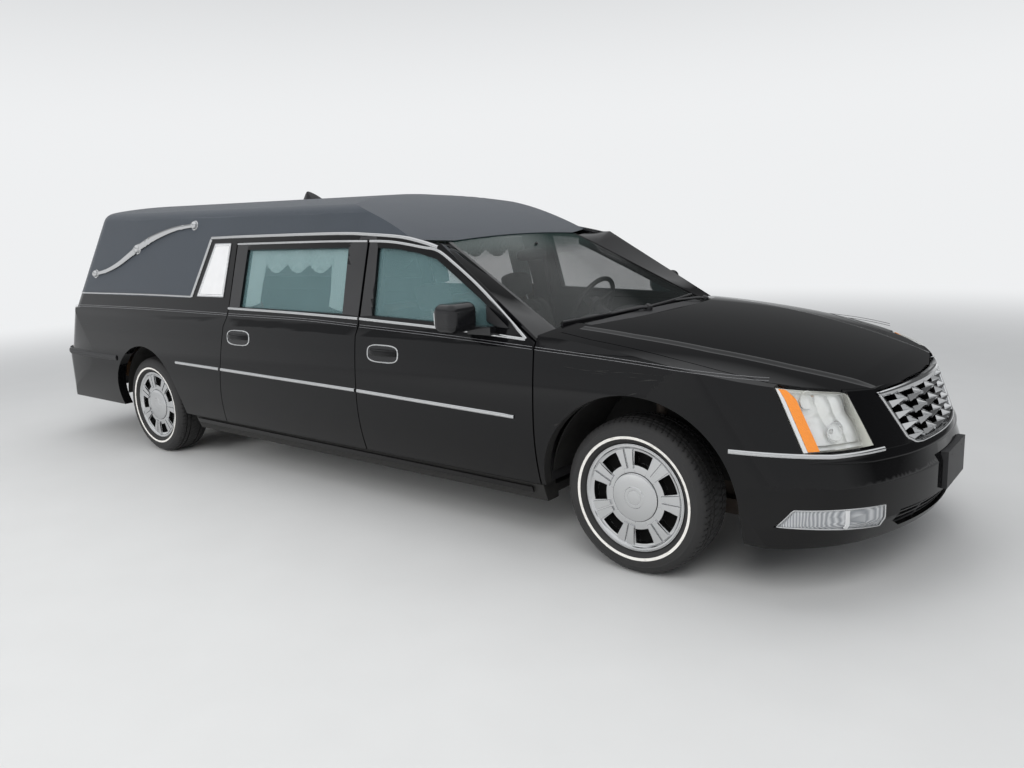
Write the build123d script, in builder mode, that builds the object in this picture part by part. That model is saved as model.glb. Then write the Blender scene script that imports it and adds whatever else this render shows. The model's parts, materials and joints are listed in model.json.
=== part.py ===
"""A coach-built hearse: a long saloon-based car with a vinyl-covered raised roof.

Millimetres. +X is forward, +Y is the car's left side, +Z is up. The origin is on the floor,
under the middle of the car. The steered wheels point straight ahead and everything is shut.
"""
from build123d import *
from math import asin, atan2, cos, degrees, hypot, pi, radians, sin, sqrt
import os

os.makedirs("parts", exist_ok=True)

# Whole car
LENGTH = 6330.0
HALF_WIDTH = 948.0
NOSE_X = LENGTH / 2
TAIL_X = -LENGTH / 2
FRONT_AXLE_X = 2125.0
WHEELBASE = 3885.0
REAR_AXLE_X = FRONT_AXLE_X - WHEELBASE
BODY_BOTTOM_Z = 235.0
SILL_Z = 328.0
WALL = 60.0
SHUT_GAP = 6.0
FRAME_GAP = 18.0

# Wheels and tyres (a 17 inch wheel)
TYRE_R = 340.0
TYRE_WIDTH = 230.0
WHEEL_Y = 788.0
RIM_SEAT_R = 216.0
RIM_LIP_R = 236.0
SPOKES = 7
HUB_FACE_R = 34.0
ARCH_X_SHIFT = 20.0
FRONT_ARCH_R = 462.0
REAR_ARCH_R = 437.0
WHEEL_BAY_Y = 470.0
KINGPIN_Y = 690.0

# Side of the body: half-widths and heights from the sill to the door frames
SIDE = {"sill": (870, 235), "low": (928, 420), "hip": (948, 610), "mid": (942, 780), "belt": (923, 950),
        "shoulder": (898, 1000)}
TUMBLEHOME = 0.281
SHOULDER_Y, SHOULDER_Z = SIDE["shoulder"]
CABIN_INSET = 95.0
FRAME_DEPTH = 45.0

# Rounded ends in plan: radii of the crown, the corner and the side, and the corner's last angle
NOSE_RADII = (1356.0, 580.0, 5000.0)
TAIL_RADII = (5000.0, 250.0, 4500.0)
CORNER_TURN = 84.0
NOSE_RAKE = 0.36
NOSE_BREAK_Z = 470.0
TAIL_RAKE = 0.42
TAIL_BREAK_Z = 690.0
TAIL_STEP = 55.0
LIP_Z = 330.0
LIP_RAKE = 0.55

# Bonnet: part of a ring about a cross-car axis
BONNET_AXIS = (1278.0, -4828.0)
BONNET_R = 5893.0
BONNET_CROWN_R = 9600.0
BONNET_SKIN = 22.0

# Windscreen: part of a cylinder whose axis follows the glass slope
GLASS_FOOT = (1665.0, 998.0)
GLASS_HEAD = (867.0, 1403.0)
GLASS_FOOT_HALF = 745.0
GLASS_HEAD_HALF = 585.0
GLASS_CROWN_R = 8000.0
CORNER_R = 230.0
GLASS = 6.0

# Roof: a crowned top that rises towards the rear
ROOF_FRONT = (50.0, 1702.0)
ROOF_REAR = (-2400.0, 1745.0)
ROOF_CROWN_R = 4000.0
ROOF_EDGE_R = 90.0

# Shut lines in the side view
DOOR_FRONT_X = 1652.0
DOOR_MIDDLE_X = 476.0
DOOR_TOP_Z = 1447.0
BELT_Z = 1052.0
COWL_X = 1660.0


def unit_slope(start, end):
    """Length and direction cosines of a line in the side view."""
    run, rise = end[0] - start[0], end[1] - start[1]
    length = hypot(run, rise)
    return length, run / length, rise / length


GLASS_LENGTH, SLOPE_X, SLOPE_Z = unit_slope(GLASS_FOOT, GLASS_HEAD)
GLASS_PLANE = Plane(origin=(GLASS_FOOT[0], 0, GLASS_FOOT[1]), x_dir=(0, 1, 0), z_dir=(SLOPE_Z, 0, -SLOPE_X))
GLASS_SECTION = Plane(origin=(GLASS_FOOT[0], 0, GLASS_FOOT[1]), x_dir=(0, 1, 0), z_dir=(SLOPE_X, 0, SLOPE_Z))


def save(builder, name):
    """Label a finished piece and write it."""
    builder.part.label = name
    export_step(builder.part, f"parts/{name}.step")


def side_outline(points, y_from, y_to):
    """Prism of a straight-sided outline in the side view, between two distances across the car."""
    with BuildPart() as prism:
        with BuildSketch(Plane.XZ.offset(-y_to)):
            with BuildLine():
                Polyline(*points, close=True)
            make_face()
        extrude(amount=y_to - y_from)
    return prism.part


def slab(x, y, z):
    """Box given by its ranges along the three axes."""
    with BuildPart() as block:
        with Locations(((x[0] + x[1]) / 2, (y[0] + y[1]) / 2, (z[0] + z[1]) / 2)):
            Box(x[1] - x[0], y[1] - y[0], z[1] - z[0])
    return block.part


def end_curve(x_tip, half_width, radii, facing):
    """Half of a rounded end in plan: crown, corner and side arcs, each tangent to the next."""
    crown, corner, side = radii
    turn = radians(CORNER_TURN)
    start = asin((half_width + (side - corner) * sin(turn) - side) / (crown - corner))

    def on(centre, radius, angle):
        return (centre[0] + facing * radius * cos(angle), centre[1] + radius * sin(angle))

    centre = (x_tip - facing * crown, 0.0)
    spans = [(crown, 0.0, start), (corner, start, turn), (side, turn, pi / 2)]
    for radius, begin, end in spans:
        if radius != crown:
            centre = (joint[0] - facing * radius * cos(begin), joint[1] - radius * sin(begin))
        joint = on(centre, radius, end)
        ThreePointArc(on(centre, radius, begin), on(centre, radius, (begin + end) / 2), joint)
    return joint


def plan_face(height, x_tip, half_width, radii, facing, x_back):
    """Half of the car in plan, from a rounded end to a straight cut at x_back."""
    with BuildSketch(Plane.XY.offset(height)) as face:
        with BuildLine():
            joint = end_curve(x_tip, half_width, radii, facing)
            Polyline(joint, (x_back, joint[1]), (x_back, 0), (x_tip, 0))
        make_face()
        mirror(about=Plane.XZ)
    return face.sketch


def raked(height, rise, x_tip, radii, facing, x_back, rake):
    """Plan outline carried up (or down) along a line that leans in the side view."""
    with BuildPart() as block:
        add(plan_face(height, x_tip, HALF_WIDTH, radii, facing, x_back))
        extrude(amount=abs(rise) * sqrt(1 + rake * rake), dir=(-facing * rake * abs(rise), 0, rise))
    return block.part


def body_section(inset, x_from, x_to):
    """The side's cross-section carried along the car, drawn inwards by inset."""
    reach = {key: (y - inset, z) for key, (y, z) in SIDE.items()}
    top = 1140.0
    lean_top = SHOULDER_Y - inset - (top - SHOULDER_Z) * TUMBLEHOME
    with BuildPart() as block:
        with BuildSketch(Plane.YZ.offset(x_from)):
            with BuildLine():
                Line((0, BODY_BOTTOM_Z), reach["sill"])
                ThreePointArc(reach["sill"], reach["low"], reach["hip"])
                ThreePointArc(reach["hip"], reach["mid"], reach["belt"])
                Polyline(reach["belt"], reach["shoulder"], (lean_top, top), (0, top), (0, BODY_BOTTOM_Z))
            make_face()
            mirror(about=Plane.YZ)
        extrude(amount=x_to - x_from)
    return block.part


def under_bonnet(depth):
    """Everything below the bonnet line, or below a line that lies depth under it."""
    radius = BONNET_R - depth
    centre_x, centre_z = BONNET_AXIS
    wide = HALF_WIDTH + 60
    drop = BONNET_CROWN_R - sqrt(BONNET_CROWN_R ** 2 - wide ** 2)
    first, last = asin((1600 - centre_x) / BONNET_R), asin((3300 - centre_x) / BONNET_R)
    with BuildPart() as block:
        frame = Plane(origin=(centre_x, 0, centre_z), x_dir=(0, 1, 0), z_dir=(cos(first), 0, -sin(first)))
        with BuildSketch(frame):
            with BuildLine():
                ThreePointArc((-wide, radius - drop), (0, radius), (wide, radius - drop))
                Polyline((wide, radius - drop), (wide, radius - 1000), (-wide, radius - 1000),
                         (-wide, radius - drop))
            make_face()
        revolve(axis=Axis((centre_x, 0, centre_z), (0, 1, 0)), revolution_arc=degrees(last - first))
    return block.part


def under_glass(depth):
    """Everything below and behind the windscreen surface, or a surface depth inside it."""
    radius = GLASS_CROWN_R - depth
    wide = 1000.0
    drop = GLASS_CROWN_R - sqrt(GLASS_CROWN_R ** 2 - GLASS_FOOT_HALF ** 2)
    edge = radius - sqrt(radius ** 2 - wide ** 2)
    top = drop - depth
    with BuildPart() as block:
        with BuildSketch(GLASS_SECTION.offset(-1500)):
            with BuildLine():
                ThreePointArc((-wide, -(top - edge)), (0, -top), (wide, -(top - edge)))
                Polyline((wide, -(top - edge)), (wide, 3300), (-wide, 3300), (-wide, -(top - edge)))
            make_face()
        extrude(amount=6500)
    return block.part


def under_roof(depth):
    """Everything below the crowned roof top, or a surface depth inside it."""
    _, along_x, along_z = unit_slope(ROOF_FRONT, ROOF_REAR)
    wide = 950.0
    drop = ROOF_CROWN_R - sqrt(ROOF_CROWN_R ** 2 - wide ** 2)
    frame = Plane(origin=(ROOF_FRONT[0], 0, ROOF_FRONT[1]), x_dir=(0, 1, 0), z_dir=(along_x, 0, along_z))
    with BuildPart() as block:
        with BuildSketch(frame.offset(-1800)):
            with BuildLine():
                ThreePointArc((-wide, drop + depth), (0, depth), (wide, drop + depth))
                Polyline((wide, drop + depth), (wide, 1100), (-wide, 1100), (-wide, drop + depth))
            make_face()
        extrude(amount=5400)
    return block.part


def upper_body(inset):
    """Glasshouse and roof sides: leaning side walls and a raked, slightly crowned tail with round corners."""
    top = 1800.0
    half = SHOULDER_Y - inset
    tip = TAIL_X + TAIL_STEP + (SHOULDER_Z - TAIL_BREAK_Z) * TAIL_RAKE + inset
    crown = TAIL_RADII[0]
    side_x = tip + crown - sqrt(crown ** 2 - 1000 ** 2)
    rise = top - SHOULDER_Z
    with BuildPart() as block:
        with BuildSketch(Plane.YZ.offset(-3300)):
            with BuildLine():
                Polyline((-half, SHOULDER_Z), (half, SHOULDER_Z), (half - rise * TUMBLEHOME, top),
                         (rise * TUMBLEHOME - half, top), close=True)
            make_face()
        extrude(amount=5020)
        with BuildSketch(Plane.XY.offset(SHOULDER_Z), mode=Mode.PRIVATE) as tail:
            with BuildLine():
                ThreePointArc((side_x, -1000), (tip, 0), (side_x, 1000))
                Polyline((side_x, 1000), (2200, 1000), (2200, -1000), (side_x, -1000))
            make_face()
        lean = Vector(rise * TAIL_RAKE, 0, rise)
        add(Solid.extrude(tail.sketch.face(), lean), mode=Mode.INTERSECT)
        corners = block.edges().filter_by(lambda e: e.center().X < -2500 and abs(e.tangent_at(0.5).Z) > 0.7)
        fillet(corners, radius=CORNER_R - inset)
    return block.part


def tail_body(inset, over=0.0):
    """Lower body behind the doors, up to the shoulder or over it, with its rounded rear corners."""
    with BuildPart() as block:
        add(raked(BODY_BOTTOM_Z, TAIL_BREAK_Z - BODY_BOTTOM_Z, TAIL_X + inset, TAIL_RADII, -1, 1660, 0))
        rise = SHOULDER_Z + over - TAIL_BREAK_Z
        add(raked(TAIL_BREAK_Z, rise, TAIL_X + TAIL_STEP + inset, TAIL_RADII, -1, 1660, TAIL_RAKE))
        add(body_section(inset, -3300, 1660), mode=Mode.INTERSECT)
    return block.part


def nose_body(inset, skin):
    """Lower body ahead of the windscreen, up to the bonnet line, with its rounded raked nose."""
    tip = NOSE_X - inset
    with BuildPart() as block:
        add(raked(NOSE_BREAK_Z, 680, tip, NOSE_RADII, 1, 1400, NOSE_RAKE))
        add(raked(LIP_Z, NOSE_BREAK_Z - LIP_Z, tip, NOSE_RADII, 1, 1400, 0))
        add(raked(LIP_Z, BODY_BOTTOM_Z - LIP_Z, tip, NOSE_RADII, 1, 1400, LIP_RAKE))
        add(body_section(inset, COWL_X, 3300), mode=Mode.INTERSECT)
        add(under_bonnet(skin), mode=Mode.INTERSECT)
    return block.part


def arch(x, radius, y_from, y_to):
    """Round wheel opening across the car."""
    with BuildPart() as hole:
        with BuildSketch(Plane.XZ.offset(-y_to)):
            with Locations((x, 330)):
                Circle(radius)
            with Locations((x, -70)):
                Rectangle(2 * radius, 800)
        extrude(amount=y_to - y_from)
    return hole.part


def both_sides(part):
    """The part and its mirror image on the other side of the car."""
    with BuildPart() as pair:
        add(part)
        mirror(part, about=Plane.XZ)
    return pair.part


def mirrored(part):
    """The part's mirror image alone."""
    with BuildPart() as other:
        mirror(part, about=Plane.XZ)
    return other.part


FRONT_ARCH = arch(FRONT_AXLE_X + ARCH_X_SHIFT, FRONT_ARCH_R, WHEEL_BAY_Y, 1000)
REAR_ARCH = arch(REAR_AXLE_X - 10, REAR_ARCH_R, 600, 1000)

# Shut outlines in the side view (x, z), from the front bottom corner round
HALF_GAP, HALF_FRAME_GAP = SHUT_GAP / 2, FRAME_GAP / 2
FRONT_DOOR = [(DOOR_FRONT_X, SILL_Z), (DOOR_FRONT_X, 980), (1606, 1004), (1000, 1376), (880, 1404),
              (700, 1428),
              (DOOR_MIDDLE_X + HALF_FRAME_GAP, 1440), (DOOR_MIDDLE_X + HALF_FRAME_GAP, BELT_Z),
              (DOOR_MIDDLE_X + HALF_GAP, BELT_Z), (DOOR_MIDDLE_X + HALF_GAP, SILL_Z)]
REAR_DOOR = [(DOOR_MIDDLE_X - HALF_GAP, SILL_Z), (DOOR_MIDDLE_X - HALF_GAP, BELT_Z),
             (DOOR_MIDDLE_X - HALF_FRAME_GAP, BELT_Z), (DOOR_MIDDLE_X - HALF_FRAME_GAP, 1440),
             (160, DOOR_TOP_Z), (-724, DOOR_TOP_Z), (-728, 1060), (-800, 660), (-855, SILL_Z)]
FRONT_WINDOW = [(1500, 1030), (1300, 1160), (990, 1340), (860, 1371), (700, 1393), (552, 1403),
                (574, 1058)]
REAR_WINDOW = [(338, 1058), (320, 1405), (-614, 1407), (-620, 1068)]
VINYL_EDGE = [(-1174, 1110), (-1016, 1492), (200, 1488), (720, 1458), (985, 1398), (1100, 1368)]
ROOF_SLOPE = [(990, 1380), (600, 1564), (60, 1697)]
ROOF_PLAN_X = -3000.0
CAP_WALL = 40.0
VINYL_Z = 1110.0
FENDER_SEAM_Z = 604.0
BUMPER_REAR_X = -2130.0
BUMPER_TOP_Z = 672.0
GATE_HALF = 600.0
GATE_BOTTOM_Z = 706.0
GATE_TOP_Z = 1590.0

# Plate holders: half-width, thickness ahead of the skin, and two bolts level with each other
PLATE_HALF = 162.0
PLATE_PROUD = 10.0
PLATE_BOLT_Y = 88.9
PLATE_BOLT_R = 3.0
FRONT_BOLT_Z = 482.0
REAR_BOLT_Z = 574.0

# Bonnet shut line in plan, from the rear corner to the grille corner (x, half-width)
BONNET_REAR = [(1722, 800), (1890, 0)]
BONNET_EDGE = [(1722, 800), (1900, 833), (2300, 833), (2480, 823), (2662, 790), (2775, 716), (2882, 596),
               (2952, 462)]
BONNET_NOSE_X = 3018.0
LAMP_REAR = [(2691, 863), (2806, FENDER_SEAM_Z)]
LAMP_INNER = [(604, 809), (561, FENDER_SEAM_Z)]
GRILLE_OUTLINE = [(0, 572), (288, 574), (336, 583), (374, 606), (458, 794), (458, 860), (0, 860)]
LOWER_MOUTH = [(0, 262), (430, 262), (500, 300), (480, 345), (0, 345)]
FOG_MOUTH = [(560, 292), (880, 330), (850, 400), (560, 384)]


def roof_front(sink):
    """Everything behind the roof's front slope, which is bowed forward in plan, or sink behind it."""
    foot, middle, crest = [(x - ROOF_PLAN_X - sink, z - 0.7 * sink) for x, z in ROOF_SLOPE]
    sweep = radians(60)
    start = Plane(origin=(ROOF_PLAN_X, 0, 0), x_dir=(cos(sweep), -sin(sweep), 0),
                  z_dir=(-sin(sweep), -cos(sweep), 0))
    with BuildPart() as region:
        with BuildSketch(start):
            with BuildLine():
                ThreePointArc(foot, middle, crest)
                Polyline(crest, (2700, 1900), (0, 1900), (0, 900), (foot[0], 900), foot)
            make_face()
        revolve(axis=Axis((ROOF_PLAN_X, 0, 0), (0, 0, 1)), revolution_arc=120)
        add(slab((-3400, -2000), (-1500, 1500), (900, 1900)))
    return region.part


def roof_side():
    """Side view of the vinyl-covered roof: everything above its lower edge."""
    return side_outline([*VINYL_EDGE, (1100, 1900), (-3300, 1900), (-3300, VINYL_Z)], -1000, 1000)


def front_outline(points, x_from, x_to):
    """Prism along the car of a straight-sided outline in the front view (y, z)."""
    with BuildPart() as prism:
        with BuildSketch(Plane.YZ.offset(x_from)):
            with BuildLine():
                Polyline(*points, close=True)
            make_face()
        extrude(amount=x_to - x_from)
    return prism.part


def bonnet_plan(grow):
    """Prism of the bonnet's shut line in plan, grown outwards by a gap."""
    edge = [(x, y + grow) for x, y in BONNET_EDGE]
    rear_mid = (BONNET_REAR[1][0] - grow, 0)
    with BuildPart() as prism:
        with BuildSketch(Plane.XY.offset(700)):
            with BuildLine():
                ThreePointArc((edge[0][0] - grow, -edge[0][1]), rear_mid, (edge[0][0] - grow, edge[0][1]))
                Polyline((edge[0][0] - grow, edge[0][1]), *edge[1:])
                ThreePointArc(edge[-1], (BONNET_NOSE_X + grow, 0), (edge[-1][0], -edge[-1][1]))
                Polyline((edge[0][0] - grow, -edge[0][1]), *[(x, -y) for x, y in edge[1:]])
            make_face()
        extrude(amount=500)
    return prism.part


NOSE_OUTER = nose_body(0, 0)
NOSE_INNER = nose_body(50, 26)
NOSE_DEEP = nose_body(115, 26)

# Bonnet: a crowned panel hinged at the cowl
with BuildPart() as bonnet:
    add(NOSE_OUTER)
    add(bonnet_plan(0), mode=Mode.INTERSECT)
    add(under_bonnet(BONNET_SKIN), mode=Mode.SUBTRACT)
save(bonnet, "bonnet")

# Windscreen
with BuildPart() as glass_trim:
    with BuildSketch(GLASS_PLANE.offset(-260)):
        with BuildLine():
            ThreePointArc((-GLASS_FOOT_HALF, 0), (0, -95), (GLASS_FOOT_HALF, 0))
            Polyline((GLASS_FOOT_HALF, 0), (GLASS_HEAD_HALF, GLASS_LENGTH), (-GLASS_HEAD_HALF, GLASS_LENGTH),
                     (-GLASS_FOOT_HALF, 0))
        make_face()
    extrude(amount=520)
with BuildPart() as windscreen:
    add(under_glass(0))
    add(under_glass(GLASS), mode=Mode.SUBTRACT)
    add(glass_trim.part, mode=Mode.INTERSECT)
save(windscreen, "windscreen")
with BuildPart() as glass_rebate:
    add(under_glass(0))
    add(under_glass(14), mode=Mode.SUBTRACT)
    add(glass_trim.part, mode=Mode.INTERSECT)

# Headlamp housings
LAMP_SIDE = side_outline([LAMP_REAR[0], (LAMP_REAR[0][0] - 22, 920), (3300, 920), (3300, FENDER_SEAM_Z),
                          LAMP_REAR[1]], 0, 1000)
LAMP_FRONT = front_outline([LAMP_INNER[1], LAMP_INNER[0], (608, 920), (1000, 920), (1000, FENDER_SEAM_Z)],
                           2500, 3300)
BONNET_CLEAR = bonnet_plan(SHUT_GAP)
with BuildPart() as lamp_cut:
    add(NOSE_OUTER)
    add(LAMP_SIDE, mode=Mode.INTERSECT)
    add(LAMP_FRONT, mode=Mode.INTERSECT)
    add(BONNET_CLEAR, mode=Mode.SUBTRACT)
    add(NOSE_DEEP, mode=Mode.SUBTRACT)
with BuildPart() as headlamps:
    add(both_sides(lamp_cut.part))
save(headlamps, "headlamps")

# Nose shell: fenders above the seam, bumper cover below it and between lamp and grille
with BuildPart() as plate_bolts:
    for x, z in ((NOSE_X - 30, FRONT_BOLT_Z), (TAIL_X + 30, REAR_BOLT_Z)):
        for y in (-PLATE_BOLT_Y, PLATE_BOLT_Y):
            with Locations(Location((x, y, z), (0, 90, 0))):
                Cylinder(PLATE_BOLT_R, 160)
GRILLE_CUT = both_sides(front_outline(GRILLE_OUTLINE, 2800, 3300))
SEAM = slab((2540, 3300), (-1000, 1000), (200, FENDER_SEAM_Z))
with BuildPart() as nose_shell:
    add(NOSE_OUTER)
    add(NOSE_INNER, mode=Mode.SUBTRACT)
    add(BONNET_CLEAR, mode=Mode.SUBTRACT)
    add(both_sides(lamp_cut.part), mode=Mode.SUBTRACT)
    add(both_sides(FRONT_ARCH), mode=Mode.SUBTRACT)
BETWEEN = slab((2700, 3300), (-598, 598), (FENDER_SEAM_Z, 900))
BELOW_SILL = slab((1600, 2300), (-1000, 1000), (200, SILL_Z))
with BuildPart() as front_fenders:
    add(nose_shell.part)
    add(SEAM, mode=Mode.SUBTRACT)
    add(BETWEEN, mode=Mode.SUBTRACT)
    add(BELOW_SILL, mode=Mode.SUBTRACT)
    add(slab((1600, 3300), (-612, 612), (200, 1100)), mode=Mode.SUBTRACT)
    add(glass_rebate.part, mode=Mode.SUBTRACT)
save(front_fenders, "front_fenders")
with BuildPart() as front_bumper:
    add(nose_shell.part)
    add(slab((2540, 3300), (-1000, 1000), (200, 1100)), mode=Mode.INTERSECT)
    add(front_fenders.part, mode=Mode.SUBTRACT)
    add(GRILLE_CUT, mode=Mode.SUBTRACT)
    add(both_sides(front_outline(LOWER_MOUTH, 2900, 3300)), mode=Mode.SUBTRACT)
    add(both_sides(front_outline(FOG_MOUTH, 2600, 3300)), mode=Mode.SUBTRACT)
    add(plate_bolts.part, mode=Mode.SUBTRACT)
save(front_bumper, "front_bumper")

# Grille: a slotted plate sunk behind the raked nose, with a pyramid wherever its bars cross
GRILLE_ROWS = 4
GRILLE_COLUMNS = 6
CELL_Y = 158.0
CELL_Z = 47.5
CELL_BASE_Z = 583.0
SLOT_WIDTH = 125.0
SLOT_HEIGHT = 20.0
SLOT_RISE = 37.0
TOOTH_RISE = 6.0
TOOTH_DEPTH = 48.0
NOSE_BACK = nose_body(62, 26)
with BuildPart() as grille_slab:
    add(NOSE_OUTER)
    add(NOSE_BACK, mode=Mode.SUBTRACT)
    add(GRILLE_CUT, mode=Mode.INTERSECT)
    add(BONNET_CLEAR, mode=Mode.SUBTRACT)
with BuildPart() as crate_region:
    with BuildSketch(Plane.YZ.offset(2800)):
        with BuildLine():
            Polyline(*GRILLE_OUTLINE, close=True)
        make_face()
        mirror(about=Plane.YZ)
        offset(amount=-12, mode=Mode.REPLACE)
    extrude(amount=500)
with BuildPart() as slots:
    with BuildSketch(Plane.YZ.offset(2800)):
        for row in range(GRILLE_ROWS):
            for column in range(GRILLE_COLUMNS):
                across = (column - (GRILLE_COLUMNS - 1) / 2) * CELL_Y
                with Locations((across, CELL_BASE_Z + row * CELL_Z + SLOT_RISE)):
                    Rectangle(SLOT_WIDTH, SLOT_HEIGHT)
    extrude(amount=500)


def tooth(y, z):
    """Pyramid on a crossing of the bars: its tip on the nose, its foot inside the plate."""
    crown = NOSE_RADII[0]
    tip = NOSE_X - crown + sqrt(crown ** 2 - y ** 2) - NOSE_RAKE * (z - NOSE_BREAK_Z) - 2
    with BuildPart() as pyramid:
        with BuildSketch(Plane.YZ.offset(tip)):
            with Locations((y, z)):
                Rectangle(3, 2)
        with BuildSketch(Plane.YZ.offset(tip - TOOTH_DEPTH)):
            with Locations((y, z + 18)):
                Rectangle(CELL_Y - 4, CELL_Z + 10)
        loft(ruled=True)
    return pyramid.part


with BuildPart() as egg_crate:
    add(nose_body(32, 26))
    add(nose_body(50, 26), mode=Mode.SUBTRACT)
    for row in range(GRILLE_ROWS):
        for column in range(1, GRILLE_COLUMNS):
            add(tooth((column - GRILLE_COLUMNS / 2) * CELL_Y, CELL_BASE_Z + row * CELL_Z + TOOTH_RISE))
    add(crate_region.part, mode=Mode.INTERSECT)
    add(grille_slab.part, mode=Mode.INTERSECT)
    add(slots.part, mode=Mode.SUBTRACT)
with BuildPart() as grille:
    add(grille_slab.part)
    add(crate_region.part, mode=Mode.SUBTRACT)
    add(egg_crate.part)
save(grille, "grille")

# Lower grille: bars across the bumper mouth
with BuildPart() as mouth_bars:
    with BuildSketch(Plane.YZ.offset(2900)):
        for height in (276, 300, 324):
            with Locations((0, height)):
                Rectangle(1000, 8)
        for column in (-300, 0, 300):
            with Locations((column, 303)):
                Rectangle(12, 84)
    extrude(amount=300)
with BuildPart() as lower_grille:
    add(NOSE_OUTER)
    add(nose_body(42, 26), mode=Mode.SUBTRACT)
    add(nose_body(18, 26), mode=Mode.INTERSECT)
    add(both_sides(front_outline(LOWER_MOUTH, 2900, 3300)), mode=Mode.INTERSECT)
    add(mouth_bars.part, mode=Mode.INTERSECT)
save(lower_grille, "lower_grille")

# Fog lamps in the bumper corners
with BuildPart() as fog_lamps:
    add(nose_body(8, 26))
    add(NOSE_INNER, mode=Mode.SUBTRACT)
    add(both_sides(front_outline(FOG_MOUTH, 2600, 3300)), mode=Mode.INTERSECT)
save(fog_lamps, "fog_lamps")

# Cowl
with BuildPart() as cowl_plan:
    with BuildSketch(Plane.XY.offset(200)):
        with BuildLine():
            ThreePointArc((1716, -800), (BONNET_REAR[1][0] - SHUT_GAP, 0), (1716, 800))
            Polyline((1716, 800), (1662, 800), (1662, -800), (1716, -800))
        make_face()
    extrude(amount=1000)
with BuildPart() as cowl:
    add(nose_body(52, 34))
    add(cowl_plan.part, mode=Mode.INTERSECT)
    add(under_bonnet(62), mode=Mode.SUBTRACT)
    with BuildSketch(Plane.YZ.offset(1662)):
        with BuildLine():
            Polyline((-845, 330), (845, 330), (845, 930), (790, 972), (-790, 972), (-845, 930), close=True)
        make_face()
    extrude(amount=12)
    add(glass_rebate.part, mode=Mode.SUBTRACT)
save(cowl, "cowl")

# Shells of the cabin and the tail
UPPER_OUTER = upper_body(0)
with BuildPart() as tail_outer:
    add(tail_body(0, 4))
    add(UPPER_OUTER)
with BuildPart() as door_wall:
    add(tail_outer.part)
    add(body_section(CABIN_INSET, -3300, 1700), mode=Mode.SUBTRACT)
    add(upper_body(FRAME_DEPTH), mode=Mode.SUBTRACT)
with BuildPart() as tail_wall:
    add(tail_outer.part)
    add(tail_body(WALL, 8), mode=Mode.SUBTRACT)
    add(upper_body(CAP_WALL), mode=Mode.SUBTRACT)


def door(outline, window):
    """A left door: the wall inside its shut line, less the window."""
    with BuildPart() as panel:
        add(door_wall.part)
        add(side_outline(outline, 300, 1000), mode=Mode.INTERSECT)
        add(side_outline(window, 300, 1000), mode=Mode.SUBTRACT)
    return panel.part


def pane(window, depth):
    """Flat glass in a left door, depth inside the leaning outer face."""
    xs = [x for x, z in window]
    low, high = 1000.0, 1460.0
    outer = [SHOULDER_Y - depth - (z - SHOULDER_Z) * TUMBLEHOME for z in (low, high)]
    with BuildPart() as sheet:
        with BuildSketch(Plane.YZ.offset(min(xs))):
            with BuildLine():
                Polyline((outer[0], low), (outer[1], high), (outer[1] - GLASS, high), (outer[0] - GLASS, low),
                         close=True)
            make_face()
        extrude(amount=max(xs) - min(xs))
        add(side_outline(window, 300, 1000), mode=Mode.INTERSECT)
    return sheet.part


# The front door's rear face slants forward inside, so that its inner corner swings past the rear door
DOOR_HEEL = [(DOOR_MIDDLE_X - 10, HALF_WIDTH), (DOOR_MIDDLE_X + HALF_GAP, HALF_WIDTH),
             (DOOR_MIDDLE_X + 44, 300), (DOOR_MIDDLE_X - 10, 300)]
with BuildPart() as door_heel:
    with BuildSketch(Plane.XY.offset(SILL_Z - 10)):
        with BuildLine():
            Polyline(*DOOR_HEEL, close=True)
        make_face()
    extrude(amount=BELT_Z - SILL_Z + 10)

DOOR_PIECES = {
    "front_door": door(FRONT_DOOR, FRONT_WINDOW) - door_heel.part,
    "rear_door": door(REAR_DOOR, REAR_WINDOW),
    "front_door_glass": pane(FRONT_WINDOW, 18),
    "rear_door_glass": pane(REAR_WINDOW, 18),
}
for name, piece in DOOR_PIECES.items():
    for side, shape in (("left", piece), ("right", mirrored(piece))):
        with BuildPart() as door_piece:
            add(shape)
        save(door_piece, f"{name}_{side}")

# Vinyl-covered roof: one hollow cap that runs down over the rear quarters
TAIL_TIP_X = TAIL_X + TAIL_STEP + (SHOULDER_Z - TAIL_BREAK_Z) * TAIL_RAKE
TAIL_TILT = sqrt(1 + TAIL_RAKE ** 2)
TAIL_INWARD = (1 / TAIL_TILT, 0, -TAIL_RAKE / TAIL_TILT)


def tail_outline(points):
    """Prism square to the raked tail, of an outline given by distances across and heights on the tail."""
    tail_plane = Plane(origin=(TAIL_TIP_X, 0, SHOULDER_Z), x_dir=(0, 1, 0), z_dir=TAIL_INWARD)
    with BuildPart() as prism:
        with BuildSketch(tail_plane.offset(-150)):
            with BuildLine():
                Polyline(*[(y, (z - SHOULDER_Z) * TAIL_TILT) for y, z in points], close=True)
            make_face()
        extrude(amount=400)
    return prism.part


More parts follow.
